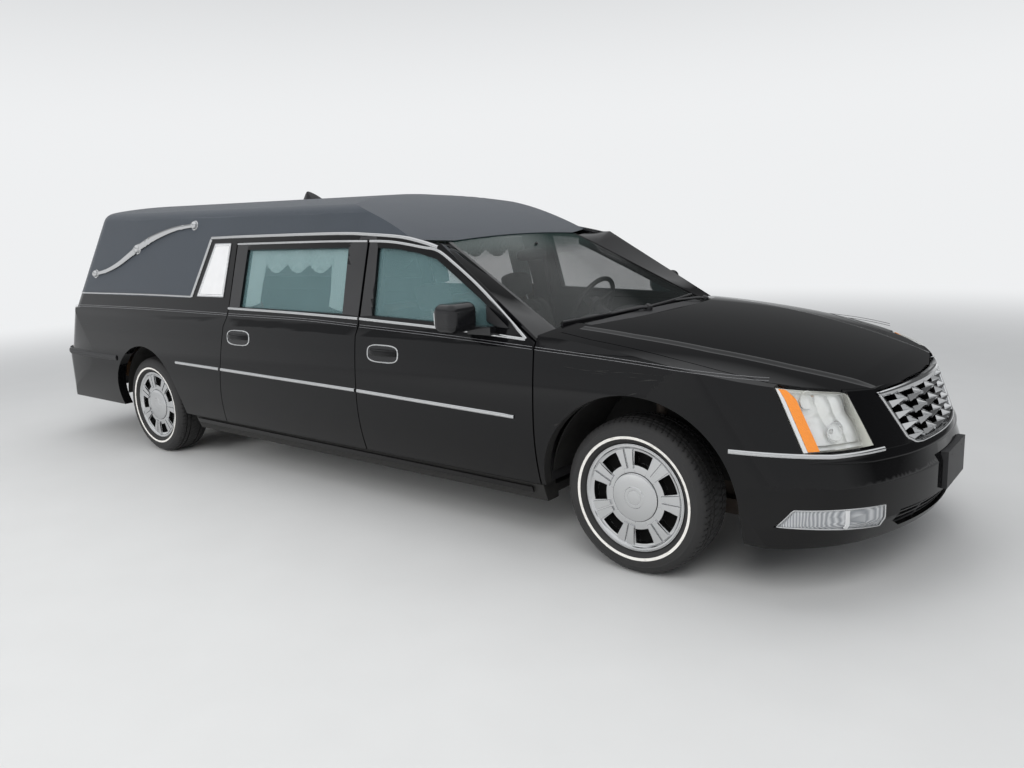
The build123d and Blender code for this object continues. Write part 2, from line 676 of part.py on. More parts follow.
GATE_OPENING = tail_outline([(-GATE_HALF, GATE_BOTTOM_Z), (GATE_HALF, GATE_BOTTOM_Z), (GATE_HALF, 1400),
                             (GATE_HALF - 70, GATE_TOP_Z - 50), (GATE_HALF - 150, GATE_TOP_Z),
                             (150 - GATE_HALF, GATE_TOP_Z), (70 - GATE_HALF, GATE_TOP_Z - 50),
                             (-GATE_HALF, 1400)])
with BuildPart() as cap_inner:
    add(upper_body(CAP_WALL))
    add(under_roof(CAP_WALL), mode=Mode.INTERSECT)
    add(roof_front(CAP_WALL), mode=Mode.INTERSECT)
with BuildPart() as roof_cap:
    add(UPPER_OUTER)
    add(under_roof(0), mode=Mode.INTERSECT)
    add(roof_front(0), mode=Mode.INTERSECT)
    add(roof_side(), mode=Mode.INTERSECT)
    crest = roof_cap.edges().filter_by(lambda e: e.center().Z > 1590)
    fillet(crest.filter_by(lambda e: abs(e.center().Y) > 400 or e.center().X < -1500), radius=ROOF_EDGE_R)
    add(cap_inner.part, mode=Mode.SUBTRACT)
    add(GATE_OPENING, mode=Mode.SUBTRACT)
    add(glass_trim.part, mode=Mode.SUBTRACT)
save(roof_cap, "roof_cap")

# Rear quarter panels, from the rear doors back to the tail
BUMPER_ZONE = slab((-3300, BUMPER_REAR_X), (-1000, 1000), (200, BUMPER_TOP_Z))
QUARTER_SIDE = side_outline([(-736, VINYL_Z), (-736, 1060), (-806, 660), (-861, SILL_Z), (-3300, SILL_Z),
                             (-3300, VINYL_Z)], -1000, 1000)
TAIL_LAMP_ZONE = front_outline([(640, 700), (1000, 700), (1000, 985), (700, 985), (655, 900)], -3300, -2872)
with BuildPart() as tail_lamps:
    add(tail_wall.part)
    add(both_sides(TAIL_LAMP_ZONE), mode=Mode.INTERSECT)
save(tail_lamps, "tail_lamps")
# Fuel lid in the left quarter, over a shallow pocket
LID_X, LID_Z = (-1530, -1390), (800, 930)
LID_SKIN = 8.0
LID_GAP = 3.0
POCKET_DEPTH = 38.0
with BuildPart() as fuel_lid:
    add(body_section(0, *LID_X))
    add(body_section(LID_SKIN, *LID_X), mode=Mode.SUBTRACT)
    add(slab(LID_X, (800, 1000), LID_Z), mode=Mode.INTERSECT)
save(fuel_lid, "fuel_lid")
POCKET_X = (LID_X[0] - LID_GAP, LID_X[1] + LID_GAP)
with BuildPart() as fuel_pocket:
    add(slab(POCKET_X, (800, 1000), (LID_Z[0] - LID_GAP, LID_Z[1] + LID_GAP)))
    add(body_section(POCKET_DEPTH, POCKET_X[0] - 10, POCKET_X[1] + 10), mode=Mode.SUBTRACT)

with BuildPart() as quarter_panels:
    add(tail_wall.part)
    add(QUARTER_SIDE, mode=Mode.INTERSECT)
    add(both_sides(REAR_ARCH), mode=Mode.SUBTRACT)
    add(BUMPER_ZONE, mode=Mode.SUBTRACT)
    add(GATE_OPENING, mode=Mode.SUBTRACT)
    add(both_sides(TAIL_LAMP_ZONE), mode=Mode.SUBTRACT)
    add(fuel_pocket.part, mode=Mode.SUBTRACT)
save(quarter_panels, "quarter_panels")
with BuildPart() as rear_bumper:
    add(tail_wall.part)
    add(slab((-3300, BUMPER_REAR_X), (-1000, 1000), (300, BUMPER_TOP_Z)), mode=Mode.INTERSECT)
    add(both_sides(REAR_ARCH), mode=Mode.SUBTRACT)
    add(plate_bolts.part, mode=Mode.SUBTRACT)
save(rear_bumper, "rear_bumper")

# Loading door at the tail, hinged on the left, with its window
GATE_SHUT = 6.0
GATE_PLAN = [(GATE_SHUT - GATE_HALF, GATE_BOTTOM_Z + GATE_SHUT),
             (GATE_HALF - GATE_SHUT, GATE_BOTTOM_Z + GATE_SHUT),
             (GATE_HALF - GATE_SHUT, 1398), (GATE_HALF - 74, GATE_TOP_Z - 56),
             (GATE_HALF - 152, GATE_TOP_Z - GATE_SHUT), (152 - GATE_HALF, GATE_TOP_Z - GATE_SHUT),
             (74 - GATE_HALF, GATE_TOP_Z - 56), (GATE_SHUT - GATE_HALF, 1398)]
GATE_WINDOW = [(-470, 1130), (470, 1130), (420, 1470), (-420, 1470)]
with BuildPart() as loading_door:
    add(tail_outer.part)
    add(tail_body(50, 8), mode=Mode.SUBTRACT)
    add(upper_body(CAP_WALL), mode=Mode.SUBTRACT)
    add(tail_outline(GATE_PLAN), mode=Mode.INTERSECT)
    add(tail_outline(GATE_WINDOW), mode=Mode.SUBTRACT)
save(loading_door, "loading_door")
with BuildPart() as loading_door_glass:
    add(upper_body(14))
    add(upper_body(20), mode=Mode.SUBTRACT)
    add(tail_outline(GATE_WINDOW), mode=Mode.INTERSECT)
save(loading_door_glass, "loading_door_glass")

# Side frames: screen pillar, cant rail, rear side panel and middle post
PILLAR_SECTIONS = {
    1655: [(898, 998), (747, 1008), (747, 955), (795, 940), (795, 984), (899, 984)],
    1000: [(782, 1418), (612, 1352), (612, 1296), (735, 1330), (735, 1385), (788, 1385)],
    890: [(780, 1418), (590, 1406), (590, 1350), (715, 1360), (715, 1407), (783, 1407)],
}


def pillar_span(first, second):
    """One straight length of the screen pillar between two of its sections."""
    with BuildPart() as span:
        for x in (first, second):
            with BuildSketch(Plane.YZ.offset(x)):
                with BuildLine():
                    Polyline(*PILLAR_SECTIONS[x], close=True)
                make_face()
        loft(ruled=True)
    return span.part


MIDDLE_POST = [(760, SILL_Z), (796, SILL_Z), (822, 420), (842, 610), (836, 780), (816, 940), (790, 985),
               (790, 1005), (738, 1380), (720, 1442), (720, 1457), (758, 1457), (758, 1472), (690, 1472),
               (700, 1380), (752, 1000), (780, 930), (795, 610)]
RAIL_OUTLINE = [(-736, VINYL_Z), (-736, DOOR_TOP_Z + SHUT_GAP), (160, DOOR_TOP_Z + SHUT_GAP), (476, 1447),
                (700, 1434), (880, 1410), (983, 1388), (985, 1398), (720, 1458), (200, 1488), (-1016, 1492),
                (-1174, VINYL_Z)]
with BuildPart() as rail:
    add(door_wall.part)
    add(side_outline(RAIL_OUTLINE, 300, 1000), mode=Mode.INTERSECT)
with BuildPart() as side_frame:
    add(pillar_span(1655, 1000))
    add(pillar_span(1000, 890))
    add(rail.part)
    add(front_outline(MIDDLE_POST, 436, 516))
    add(roof_cap.part, mode=Mode.SUBTRACT)
with BuildPart() as side_frames:
    add(both_sides(side_frame.part))
save(side_frames, "side_frames")

# Floor: flat pan with boxed sills, seat bases, fuel tank and wheel-arch liners
FLOOR_TOP = 300.0
SHELF_HALF = 835.0
LINER = 6.0
LINER_FOOT_Z = 380.0


def wheel_liner(x, radius, y_from, y_to, wall_bottom):
    """Half-round liner over one left wheel, closed on its inner side above wall_bottom."""
    with BuildPart() as liner:
        with BuildSketch(Plane.XZ.offset(-y_to)):
            with Locations((x, 330)):
                Circle(radius + 2 + LINER)
                Circle(radius + 2, mode=Mode.SUBTRACT)
            with Locations((x, 0)):
                Rectangle(2 * radius + 100, 2 * LINER_FOOT_Z, mode=Mode.SUBTRACT)
        extrude(amount=y_to - y_from)
        with BuildSketch(Plane.XZ.offset(-y_from - LINER)):
            with Locations((x, 330)):
                Circle(radius + 2 + LINER)
            with Locations((x, wall_bottom - 500)):
                Rectangle(2 * radius + 100, 1000, mode=Mode.SUBTRACT)
        extrude(amount=LINER)
    return liner.part


with BuildPart() as floor_side:
    add(slab((690, 1080), (190, 570), (FLOOR_TOP, 400)))
    add(wheel_liner(FRONT_AXLE_X + ARCH_X_SHIFT, FRONT_ARCH_R, WHEEL_BAY_Y - 8, 842, 340))
    add(wheel_liner(REAR_AXLE_X - 10, REAR_ARCH_R, 602, 856, 480))
with BuildPart() as floor_pan:
    add(body_section(8, -1235, 1660))
    split(bisect_by=Plane.XY.offset(SILL_Z - SHUT_GAP), keep=Keep.BOTTOM)
    add(slab((-1400, 1700), (-800, 800), (FLOOR_TOP, 400)), mode=Mode.SUBTRACT)
    add(slab((-1400, 1700), (-780, 780), (200, 262)), mode=Mode.SUBTRACT)
    add(slab((-1180, -560), (-420, 420), (172, 280)))
    add(both_sides(floor_side.part))
save(floor_pan, "floor_pan")

# Casket deck: a raised floor with side shelves, bearer rollers let into it, and the bulkhead ahead of it
DECK_Z = 640.0
DECK = 40.0
DECK_FRONT, DECK_REAR = 352.0, -3035.0
ROLLER_R = 16.0
DECK_PLAN = [(DECK_FRONT, 0), (DECK_FRONT, SHELF_HALF), (-1255, SHELF_HALF), (-1255, 592), (-2245, 592),
             (-2245, SHELF_HALF), (-2780, 800), (-2900, 700), (-3000, 560), (DECK_REAR, 0)]
with BuildPart() as casket_deck:
    with BuildSketch(Plane.XY.offset(DECK_Z - DECK)):
        with BuildLine():
            Polyline(*DECK_PLAN, close=True)
        make_face()
        mirror(about=Plane.XZ)
    extrude(amount=DECK)
    for side in (-1, 1):
        add(slab((-2990, -2260), sorted((side * 500, side * 540)), (400, DECK_Z - DECK)))
        add(slab((-1240, DECK_FRONT), sorted((side * 500, side * 540)), (FLOOR_TOP, DECK_Z - DECK)))
    add(slab((DECK_FRONT, DECK_FRONT + 20), (-790, 790), (FLOOR_TOP, 1080)))
    add(slab((DECK_FRONT, DECK_FRONT + 20), (-560, 560), (770, 1040)), mode=Mode.SUBTRACT)
    for index in range(7):
        x = DECK_REAR + 260 + index * 460
        for y in (-330, 0, 330):
            with Locations(Location((x, y, DECK_Z), (90, 0, 0))):
                Cylinder(ROLLER_R, 180)
save(casket_deck, "casket_deck")

# Front seats: cushion, backrest and headrest, one closed form each side
SEAT_Y = 380.0
SEAT_FORMS = [
    # centre x, centre z, length, width, height, lean, edge radius
    (905, 468, 480, 500, 135, 4, 45),
    (650, 775, 130, 490, 560, -14, 45),
    (548, 1110, 90, 250, 160, -14, 32),
]
with BuildPart() as seat:
    for x, z, long, wide, tall, lean, radius in SEAT_FORMS:
        with BuildPart(mode=Mode.PRIVATE) as cushion:
            with Locations(Location((x, SEAT_Y, z), (0, lean, 0))):
                Box(long, wide, tall)
            fillet(cushion.edges(), radius=radius)
        add(cushion.part)
    for y in (-60, 60):
        with Locations(Location((580, SEAT_Y + y, 1030), (0, -14, 0))):
            Cylinder(8, 90)
with BuildPart() as front_seats:
    add(both_sides(seat.part))
    add(both_sides(floor_side.part), mode=Mode.SUBTRACT)
save(front_seats, "front_seats")

# Dashboard: a rolled-top panel across the car, with the column's shroud on the left
COLUMN_HUB = (1120.0, SEAT_Y, 985.0)
TILT = radians(26)
COLUMN_AXIS = (-cos(TILT), 0.0, sin(TILT))
COLUMN_PLANE = Plane(origin=COLUMN_HUB, x_dir=(0, 1, 0), z_dir=COLUMN_AXIS)
DASH_OUTLINE = [(1662, 640), (1662, 955), (1500, 965), (1330, 945), (1285, 880), (1320, 740), (1420, 640)]
with BuildPart() as dashboard:
    add(side_outline(DASH_OUTLINE, -740, 740))
    fillet(dashboard.edges().filter_by(Axis.Y).filter_by(lambda e: e.center().X < 1600), radius=28)
    with BuildSketch(COLUMN_PLANE.offset(-34)):
        Circle(34)
    extrude(amount=-260)
    add(slab((1290, 1420), (-120, 120), (FLOOR_TOP, 720)))
save(dashboard, "dashboard")

# Steering wheel
WHEEL_RING_R = 186.0
RING_TUBE_R = 14.0
with BuildPart() as steering_wheel:
    ring_up = Vector(*COLUMN_AXIS).cross(Vector(0, 1, 0))
    with BuildSketch(Plane(origin=COLUMN_HUB, x_dir=(0, 1, 0), z_dir=ring_up)):
        with Locations((WHEEL_RING_R, 0)):
            Circle(RING_TUBE_R)
    revolve(axis=Axis(COLUMN_HUB, COLUMN_AXIS))
    with BuildSketch(COLUMN_PLANE.offset(-28)):
        Circle(66)
    extrude(amount=34)
    with BuildSketch(COLUMN_PLANE.offset(-12)):
        with PolarLocations(WHEEL_RING_R / 2, 3, start_angle=90):
            Rectangle(WHEEL_RING_R, 34)
    extrude(amount=12)
save(steering_wheel, "steering_wheel")

# Wheels: a bright rim with seven windows near its edge, two raised bars on every spoke and a wide flat cap
RIM_OUTLINE = [(0, 97), (104, 95), (109, 84), (190, 83), (216, 92), (RIM_LIP_R, 100), (RIM_LIP_R, 88),
               (RIM_SEAT_R, 84), (RIM_SEAT_R, 60), (198, 30), (198, -70), (RIM_SEAT_R, -84), (RIM_LIP_R, -88),
               (RIM_LIP_R, -98), (208, -94), (190, -70), (190, 30), (180, 56), (60, 46), (60, -40),
               (HUB_FACE_R, -40), (HUB_FACE_R, 40), (0, 40)]
WINDOW_RADII = (142.0, 204.0)
WINDOW_HALVES = (34.0, 44.0)
SPOKE_BAR = [(126, 5), (213, 5), (213, 43), (126, 26)]
with BuildPart() as rim_form:
    with BuildSketch(Plane.XY):
        with BuildLine():
            Polyline(*RIM_OUTLINE, close=True)
        make_face()
    revolve(axis=Axis.Y)
    with BuildSketch(Plane.XZ.offset(-130)):
        with PolarLocations(0, SPOKES, start_angle=180 / SPOKES):
            (near, far), (narrow, wide) = WINDOW_RADII, WINDOW_HALVES
            Polygon((near, -narrow), (far, -wide), (far, wide), (near, narrow), align=None)
    extrude(amount=90, mode=Mode.SUBTRACT)
    with BuildSketch(Plane.XZ.offset(-92)):
        with PolarLocations(0, SPOKES):
            Polygon(*SPOKE_BAR, align=None)
            Polygon(*[(r, -y) for r, y in SPOKE_BAR[::-1]], align=None)
    extrude(amount=20)
TYRE_SHOULDER = (322.0, 100.0)
TYRE_INNER = [(RIM_SEAT_R + 2, 80), (RIM_LIP_R + 3, 84), (RIM_LIP_R + 5, 100)]
with BuildPart() as tyre_form:
    with BuildSketch(Plane.XY):
        with BuildLine():
            for side in (-1, 1):
                seat_edge, flange, bead = [(radius, side * y) for radius, y in TYRE_INNER]
                Polyline(seat_edge, flange, bead)
                ThreePointArc(bead, (285, side * TYRE_WIDTH / 2),
                              (TYRE_SHOULDER[0], side * TYRE_SHOULDER[1]))
                shoulder = (TYRE_SHOULDER[0], side * TYRE_SHOULDER[1])
                ThreePointArc(shoulder, (335, side * 86), (TYRE_R, side * 62))
            Line((TYRE_R, -62), (TYRE_R, 62))
            Line((RIM_SEAT_R + 2, -80), (RIM_SEAT_R + 2, 80))
        make_face()
    revolve(axis=Axis.Y)
for axle, x in (("front", FRONT_AXLE_X), ("rear", REAR_AXLE_X)):
    for side, facing in (("left", 1), ("right", -1)):
        for kind, form in (("rim", rim_form), ("tyre", tyre_form)):
            shape = form.part if facing > 0 else mirrored(form.part)
            with BuildPart() as wheel_piece:
                with Locations((x, facing * WHEEL_Y, TYRE_R)):
                    add(shape)
            save(wheel_piece, f"{kind}_{axle}_{side}")

# Front knuckles turn about upright pins and carry the wheels on their spindles
PIN_R = HUB_FACE_R - 0.05
FLANGE_Y = WHEEL_Y - 42.0
PIN_END_Y = WHEEL_Y + 38.0
with BuildPart() as knuckle:
    with Locations((FRONT_AXLE_X, KINGPIN_Y, 350)):
        Box(56, 40, 270)
    with Locations(Location((FRONT_AXLE_X, KINGPIN_Y + 18, TYRE_R), (-90, 0, 0))):
        Cylinder(52, FLANGE_Y - KINGPIN_Y - 18, align=(Align.CENTER, Align.CENTER, Align.MIN))
        Cylinder(PIN_R, PIN_END_Y - KINGPIN_Y - 18, align=(Align.CENTER, Align.CENTER, Align.MIN))
    with Locations((FRONT_AXLE_X - 75, KINGPIN_Y - 10, 300)):
        Box(110, 20, 26)
for side, shape in (("left", knuckle.part), ("right", mirrored(knuckle.part))):
    with BuildPart() as knuckle_piece:
        add(shape)
    save(knuckle_piece, f"knuckle_{side}")

# Front suspension: cradle, lower arms and struts; one frame with the body
ARM_PLAN = [(1900, 400), (1900, 430), (FRONT_AXLE_X - 28, 560), (FRONT_AXLE_X - 28, 712),
            (FRONT_AXLE_X + 28, 712), (FRONT_AXLE_X + 28, 560), (2330, 430), (2330, 400)]
STRUT_Y = 628.0
with BuildPart() as front_suspension:
    add(slab((1760, 1830), (-420, 420), (170, 240)))
    add(slab((2400, 2470), (-420, 420), (170, 240)))
    for side in (-1, 1):
        add(slab((1760, 2470), sorted((side * 360, side * 420)), (170, 240)))
        with BuildSketch(Plane.XY.offset(176)):
            with BuildLine():
                Polyline(*[(x, side * y) for x, y in ARM_PLAN], close=True)
            make_face()
        extrude(amount=30)
        with Locations((FRONT_AXLE_X, side * STRUT_Y, 500)):
            Cylinder(24, 290, align=(Align.CENTER, Align.CENTER, Align.MIN))
save(front_suspension, "front_suspension")

# Rear suspension: cradle, arms, uprights and fixed spindles
REAR_POST_Y = 704.0
with BuildPart() as rear_suspension:
    add(slab((REAR_AXLE_X - 60, REAR_AXLE_X + 60), (-480, 480), (230, 300)))
    for side in (-1, 1):
        add(slab((REAR_AXLE_X - 30, REAR_AXLE_X + 30), sorted((side * 440, side * 690)), (240, 280)))
        add(slab((REAR_AXLE_X, REAR_AXLE_X + 470), sorted((side * 470, side * 490)), (240, 290)))
        add(slab((REAR_AXLE_X - 35, REAR_AXLE_X + 35), sorted((side * 660, side * REAR_POST_Y)), (235, 450)))
        strut_y = sorted((side * 470, side * 530))
        add(slab((REAR_AXLE_X - 40, REAR_AXLE_X + 40), strut_y, (290, DECK_Z - DECK)))
        with Locations(Location((REAR_AXLE_X, side * REAR_POST_Y, TYRE_R), (-90 * side, 0, 0))):
            Cylinder(52, FLANGE_Y - REAR_POST_Y, align=(Align.CENTER, Align.CENTER, Align.MIN))
            Cylinder(PIN_R, PIN_END_Y - REAR_POST_Y, align=(Align.CENTER, Align.CENTER, Align.MIN))
save(rear_suspension, "rear_suspension")

# Power unit, one plain block across the nose, and the exhaust below the floor
with BuildPart() as engine:
    add(slab((1860, 2380), (-370, 370), (240, 780)))
save(engine, "engine")
EXHAUST_PATH = [(1700, -250, 222), (400, -250, 222), (-300, -520, 196), (-1250, -520, 196),
                (-1900, -380, 196), (-2250, -420, 330), (-3000, -420, 340)]
with BuildPart() as exhaust:
    with BuildLine():
        FilletPolyline(*EXHAUST_PATH, radius=120)
    with BuildSketch(Plane(origin=EXHAUST_PATH[0], z_dir=(-1, 0, 0))):
        Circle(28)
    sweep()
save(exhaust, "exhaust")

# Door mirrors
with BuildPart() as mirror_head:
    with Locations((1270, 998, 1087)):
        Box(130, 185, 134)
    fillet(mirror_head.edges(), radius=38)
    add(slab((1280, 1420), (866, 934), (1002, 1040)))
    add(door_wall.part, mode=Mode.SUBTRACT)
for side, shape in (("left", mirror_head.part), ("right", mirrored(mirror_head.part))):
    with BuildPart() as mirror_piece:
        add(shape)
    save(mirror_piece, f"door_mirror_{side}")

# Curtains inside the rear door windows, with the swagged valance as one outline
CURTAIN_OUTLINE = [(326, 1064), (312, 1398), (-606, 1400), (-612, 1074), (-520, 1072), (-500, 1290),
                   (-330, 1330), (-150, 1275), (30, 1330), (200, 1285), (230, 1066)]
for side in ("left", "right"):
    shape = pane(CURTAIN_OUTLINE, 28)
    with BuildPart() as curtain:
        add(shape if side == "left" else mirrored(shape))
    save(curtain, f"curtain_{side}")

# Landau bars: S-shaped irons on the vinyl quarters
BAR_TOP = [(-2700, 1234), (-2360, 1306), (-2030, 1428), (-1700, 1540), (-1250, 1580)]
BAR_DROP = [24, 28, 38, 28, 24]
with BuildPart() as bar_form:
    with BuildSketch(Plane.XZ.offset(-1000)):
        with BuildLine():
            upper = Spline(*BAR_TOP)
            lower = Spline(*[(x, z - drop) for (x, z), drop in zip(BAR_TOP, BAR_DROP)])
            Line(upper @ 0, lower @ 0)
            Line(upper @ 1, lower @ 1)
        make_face()
        with Locations((-2700, 1222), (-1250, 1568), (-2030, 1410)):
            Circle(28)
    extrude(amount=400)
with BuildPart() as bar_side:
    add(bar_form.part)
    add(upper_body(-22), mode=Mode.INTERSECT)
    add(UPPER_OUTER, mode=Mode.SUBTRACT)
with BuildPart() as landau_bars:
    add(both_sides(bar_side.part))
save(landau_bars, "landau_bars")

# Blank plate holders at the nose and the tail
with BuildPart() as plate_holders:
    add(slab((NOSE_X - 20, NOSE_X + PLATE_PROUD), (-PLATE_HALF, PLATE_HALF), (352, 508)))
    add(slab((TAIL_X - PLATE_PROUD, TAIL_X + 20), (-PLATE_HALF, PLATE_HALF), (440, 600)))
    add(NOSE_OUTER, mode=Mode.SUBTRACT)
    add(tail_body(0), mode=Mode.SUBTRACT)
    add(plate_bolts.part, mode=Mode.SUBTRACT)
save(plate_holders, "plate_holders")
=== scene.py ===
import json
from math import asin, cos, radians, sin

import bpy
import numpy as np
from mathutils import Matrix, Vector

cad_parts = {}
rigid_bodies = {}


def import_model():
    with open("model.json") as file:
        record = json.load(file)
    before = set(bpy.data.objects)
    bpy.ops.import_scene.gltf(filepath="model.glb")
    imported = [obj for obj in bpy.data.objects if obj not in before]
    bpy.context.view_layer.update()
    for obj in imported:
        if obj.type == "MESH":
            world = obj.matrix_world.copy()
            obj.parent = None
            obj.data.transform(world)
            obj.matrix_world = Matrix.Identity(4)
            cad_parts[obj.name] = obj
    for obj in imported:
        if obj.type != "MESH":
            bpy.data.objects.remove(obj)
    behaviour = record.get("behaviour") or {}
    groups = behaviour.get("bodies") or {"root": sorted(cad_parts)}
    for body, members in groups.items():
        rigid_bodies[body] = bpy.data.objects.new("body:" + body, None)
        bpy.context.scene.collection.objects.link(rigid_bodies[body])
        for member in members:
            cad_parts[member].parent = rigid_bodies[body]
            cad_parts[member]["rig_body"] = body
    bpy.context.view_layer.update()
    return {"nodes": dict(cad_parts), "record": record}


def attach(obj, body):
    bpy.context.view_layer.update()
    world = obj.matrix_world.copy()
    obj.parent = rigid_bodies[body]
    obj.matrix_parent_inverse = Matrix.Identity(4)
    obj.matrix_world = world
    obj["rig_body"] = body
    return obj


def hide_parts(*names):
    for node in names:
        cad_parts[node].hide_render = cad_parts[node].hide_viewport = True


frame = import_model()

# A coach-built hearse in gloss black with a vinyl roof. Metres; +X forward, +Y the car's left, +Z up.
NODES = frame["nodes"]
SIDES = (("left", 1.0), ("right", -1.0))

# Named places, the same values as the part's source in metres
NOSE_X = 3.165
TAIL_X = -3.165
HALF_WIDTH = 0.948
SIDE_POINTS = [(0.870, 0.235), (0.928, 0.420), (0.948, 0.610), (0.942, 0.780), (0.923, 0.950), (0.898, 1.000)]
TUMBLEHOME = 0.281
NOSE_RADII = (1.356, 0.580, 5.000)
TAIL_RADII = (5.000, 0.250, 4.500)
FRONT_AXLE_X = 2.125
REAR_AXLE_X = -1.760
WHEEL_Y = 0.788
TYRE_R = 0.340
BONNET_AXIS = (1.278, -4.828)
BONNET_R = 5.893
BONNET_CROWN_R = 9.6
SHOULDER_Z, SHOULDER_HALF = 1.000, 0.898
TAIL_LEAN_Z, TAIL_STEP, TAIL_SLOPE = 0.690, 0.055, 0.42
TAIL_CROWN_R, UPPER_CORNER_R = 5.0, 0.230
ROOF_CROWN_R, ROOF_FRONT_Z, ROOF_RISE = 4.0, 1.702, (1.745 - 1.702) / 2.45
SMOOTH_BELOW = radians(32.0)
ON_SURFACE = 0.0018
BODY = ("body", "body")


class Value:
    """A number socket that takes part in ordinary arithmetic by adding Math nodes."""

    def __init__(self, graph, socket):
        self.graph = graph
        self.socket = socket

    def _math(self, operation, *terms):
        node = self.graph.node("ShaderNodeMath", dict(operation=operation))
        for slot, term in zip(node.inputs, terms):
            self.graph.feed(slot, term)
        return Value(self.graph, node.outputs[0])

    def __add__(self, other):
        return self._math("ADD", self, other)

    __radd__ = __add__

    def __mul__(self, other):
        return self._math("MULTIPLY", self, other)

    __rmul__ = __mul__

    def __sub__(self, other):
        return self._math("SUBTRACT", self, other)

    def __rsub__(self, other):
        return self._math("SUBTRACT", other, self)

    def __truediv__(self, other):
        return self._math("DIVIDE", self, other)

    def __pow__(self, other):
        return self._math("POWER", self, other)

    def sine(self):
        return self._math("SINE", self)

    def size(self):
        return self._math("ABSOLUTE", self)

    def larger(self, other):
        return self._math("MAXIMUM", self, other)

    def ramp(self, low, high, shape="SMOOTHSTEP"):
        """0 at low, 1 at high, smooth between."""
        node = self.graph.node("ShaderNodeMapRange", dict(interpolation_type=shape), Value=self, From_Min=low,
                               From_Max=high)
        return Value(self.graph, node.outputs[0])


class Nodes:
    """Nodes of one tree, with the coordinates that its patterns follow."""

    def __init__(self, tree, coordinates):
        self.tree = tree
        self.place = self.node("ShaderNodeTexCoord").outputs[coordinates]

    def feed(self, slot, term):
        if isinstance(term, Value):
            self.tree.links.new(term.socket, slot)
        elif isinstance(term, bpy.types.NodeSocket):
            self.tree.links.new(term, slot)
        else:
            slot.default_value = term

    def node(self, kind, settings=None, **inputs):
        made = self.tree.nodes.new(kind)
        for key, value in (settings or {}).items():
            setattr(made, key, value)
        for key, value in inputs.items():
            self.feed(made.inputs[key.replace("_", " ")], value)
        return made

    def axes(self):
        split = self.node("ShaderNodeSeparateXYZ", Vector=self.place)
        return [Value(self, out) for out in split.outputs]

    def noise(self, scale, detail=2.0, rough=0.5, place=None):
        made = self.node("ShaderNodeTexNoise", Vector=place or self.place, Scale=scale, Detail=detail,
                         Roughness=rough)
        return Value(self, made.outputs["Fac"])

    def cells(self, scale):
        made = self.node("ShaderNodeTexVoronoi", Vector=self.place, Scale=scale)
        return Value(self, made.outputs["Distance"])

    def stretched(self, scale):
        return self.node("ShaderNodeMapping", Vector=self.place, Scale=scale).outputs[0]

    def blend(self, factor, first, second):
        """Colour that goes from first to second as the factor goes from 0 to 1."""
        made = self.node("ShaderNodeMix", dict(data_type="RGBA"))
        for slot, term in zip((made.inputs[0], made.inputs[6], made.inputs[7]), (factor, first, second)):
            self.feed(slot, (*term, 1.0) if isinstance(term, tuple) and len(term) == 3 else term)
        return made.outputs[2]

    def shader_mix(self, factor, first, second):
        """Shader that goes from first to second as the factor goes from 0 to 1."""
        made = self.node("ShaderNodeMixShader")
        for slot, term in zip(made.inputs, (factor, first, second)):
            self.feed(slot, term)
        return made.outputs[0]


class Graph(Nodes):
    """One material's nodes, ending in a Principled shader."""

    def __init__(self, name, **constants):
        self.material = bpy.data.materials.new(name)
        self.material.use_nodes = True
        super().__init__(self.material.node_tree, "Object")
        self.shader = self.tree.nodes["Principled BSDF"]
        for socket, value in constants.items():
            self.shader.inputs[socket.replace("_", " ")].default_value = value

    def finish(self, colour, rough, relief=None, depth=0.001, edge=0.0, **links):
        """Links the colour, the roughness and a relief whose height is depth metres; edge rounds corners."""
        self.feed(self.shader.inputs["Base Color"], colour)
        self.feed(self.shader.inputs["Roughness"], rough)
        normal = None
        if edge:
            normal = self.node("ShaderNodeBevel", dict(samples=4), Radius=edge).outputs[0]
        if relief is not None:
            bump = self.node("ShaderNodeBump", Height=relief, Distance=depth, Strength=1.0)
            if normal is not None:
                self.feed(bump.inputs["Normal"], normal)
            normal = bump.outputs[0]
        if normal is not None:
            self.feed(self.shader.inputs["Normal"], normal)
        for key, value in links.items():
            self.feed(self.shader.inputs[key.replace("_", " ")], value)
        return self.material


def gloss_paint():
    g = Graph("black paint", Coat_Weight=0.9, Coat_Roughness=0.010, Coat_IOR=1.37, Specular_IOR_Level=0.0)
    z = g.axes()[2]
    dust = (1.0 - z.ramp(0.24, 0.62)) * g.noise(7.0, 5.0, 0.6)
    film = g.noise(2.3, 4.0) * 0.5 + g.noise(60.0, 2.0) * 0.5
    colour = g.blend(dust * 0.35, (0.0025, 0.0025, 0.003), (0.022, 0.020, 0.018))
    return g.finish(colour, film * 0.08 + dust * 0.22 + 0.06, g.noise(240.0, 1.0), 0.000012, edge=0.003)


def vinyl_cover():
    g = Graph("grained vinyl", Sheen_Weight=0.15, Sheen_Roughness=0.4, IOR=1.45)
    grain = g.cells(420.0) + g.cells(260.0) * 0.7
    cloudy = g.noise(1.6, 3.0) * 0.6 + g.noise(9.0, 4.0) * 0.4
    colour = g.blend(cloudy, (0.024, 0.030, 0.038), (0.043, 0.052, 0.065))
    return g.finish(colour, cloudy * 0.16 + 0.46, grain + g.noise(30.0, 3.0) * 0.8, 0.0005)


def bright_metal():
    g = Graph("chrome", Metallic=1.0)
    smear = g.noise(24.0, 4.0, 0.6)
    colour = g.blend(g.noise(6.0, 3.0), (0.56, 0.565, 0.57), (0.64, 0.645, 0.65))
    return g.finish(colour, smear * 0.10 + 0.05, g.noise(90.0, 2.0), 0.00002, edge=0.0012)


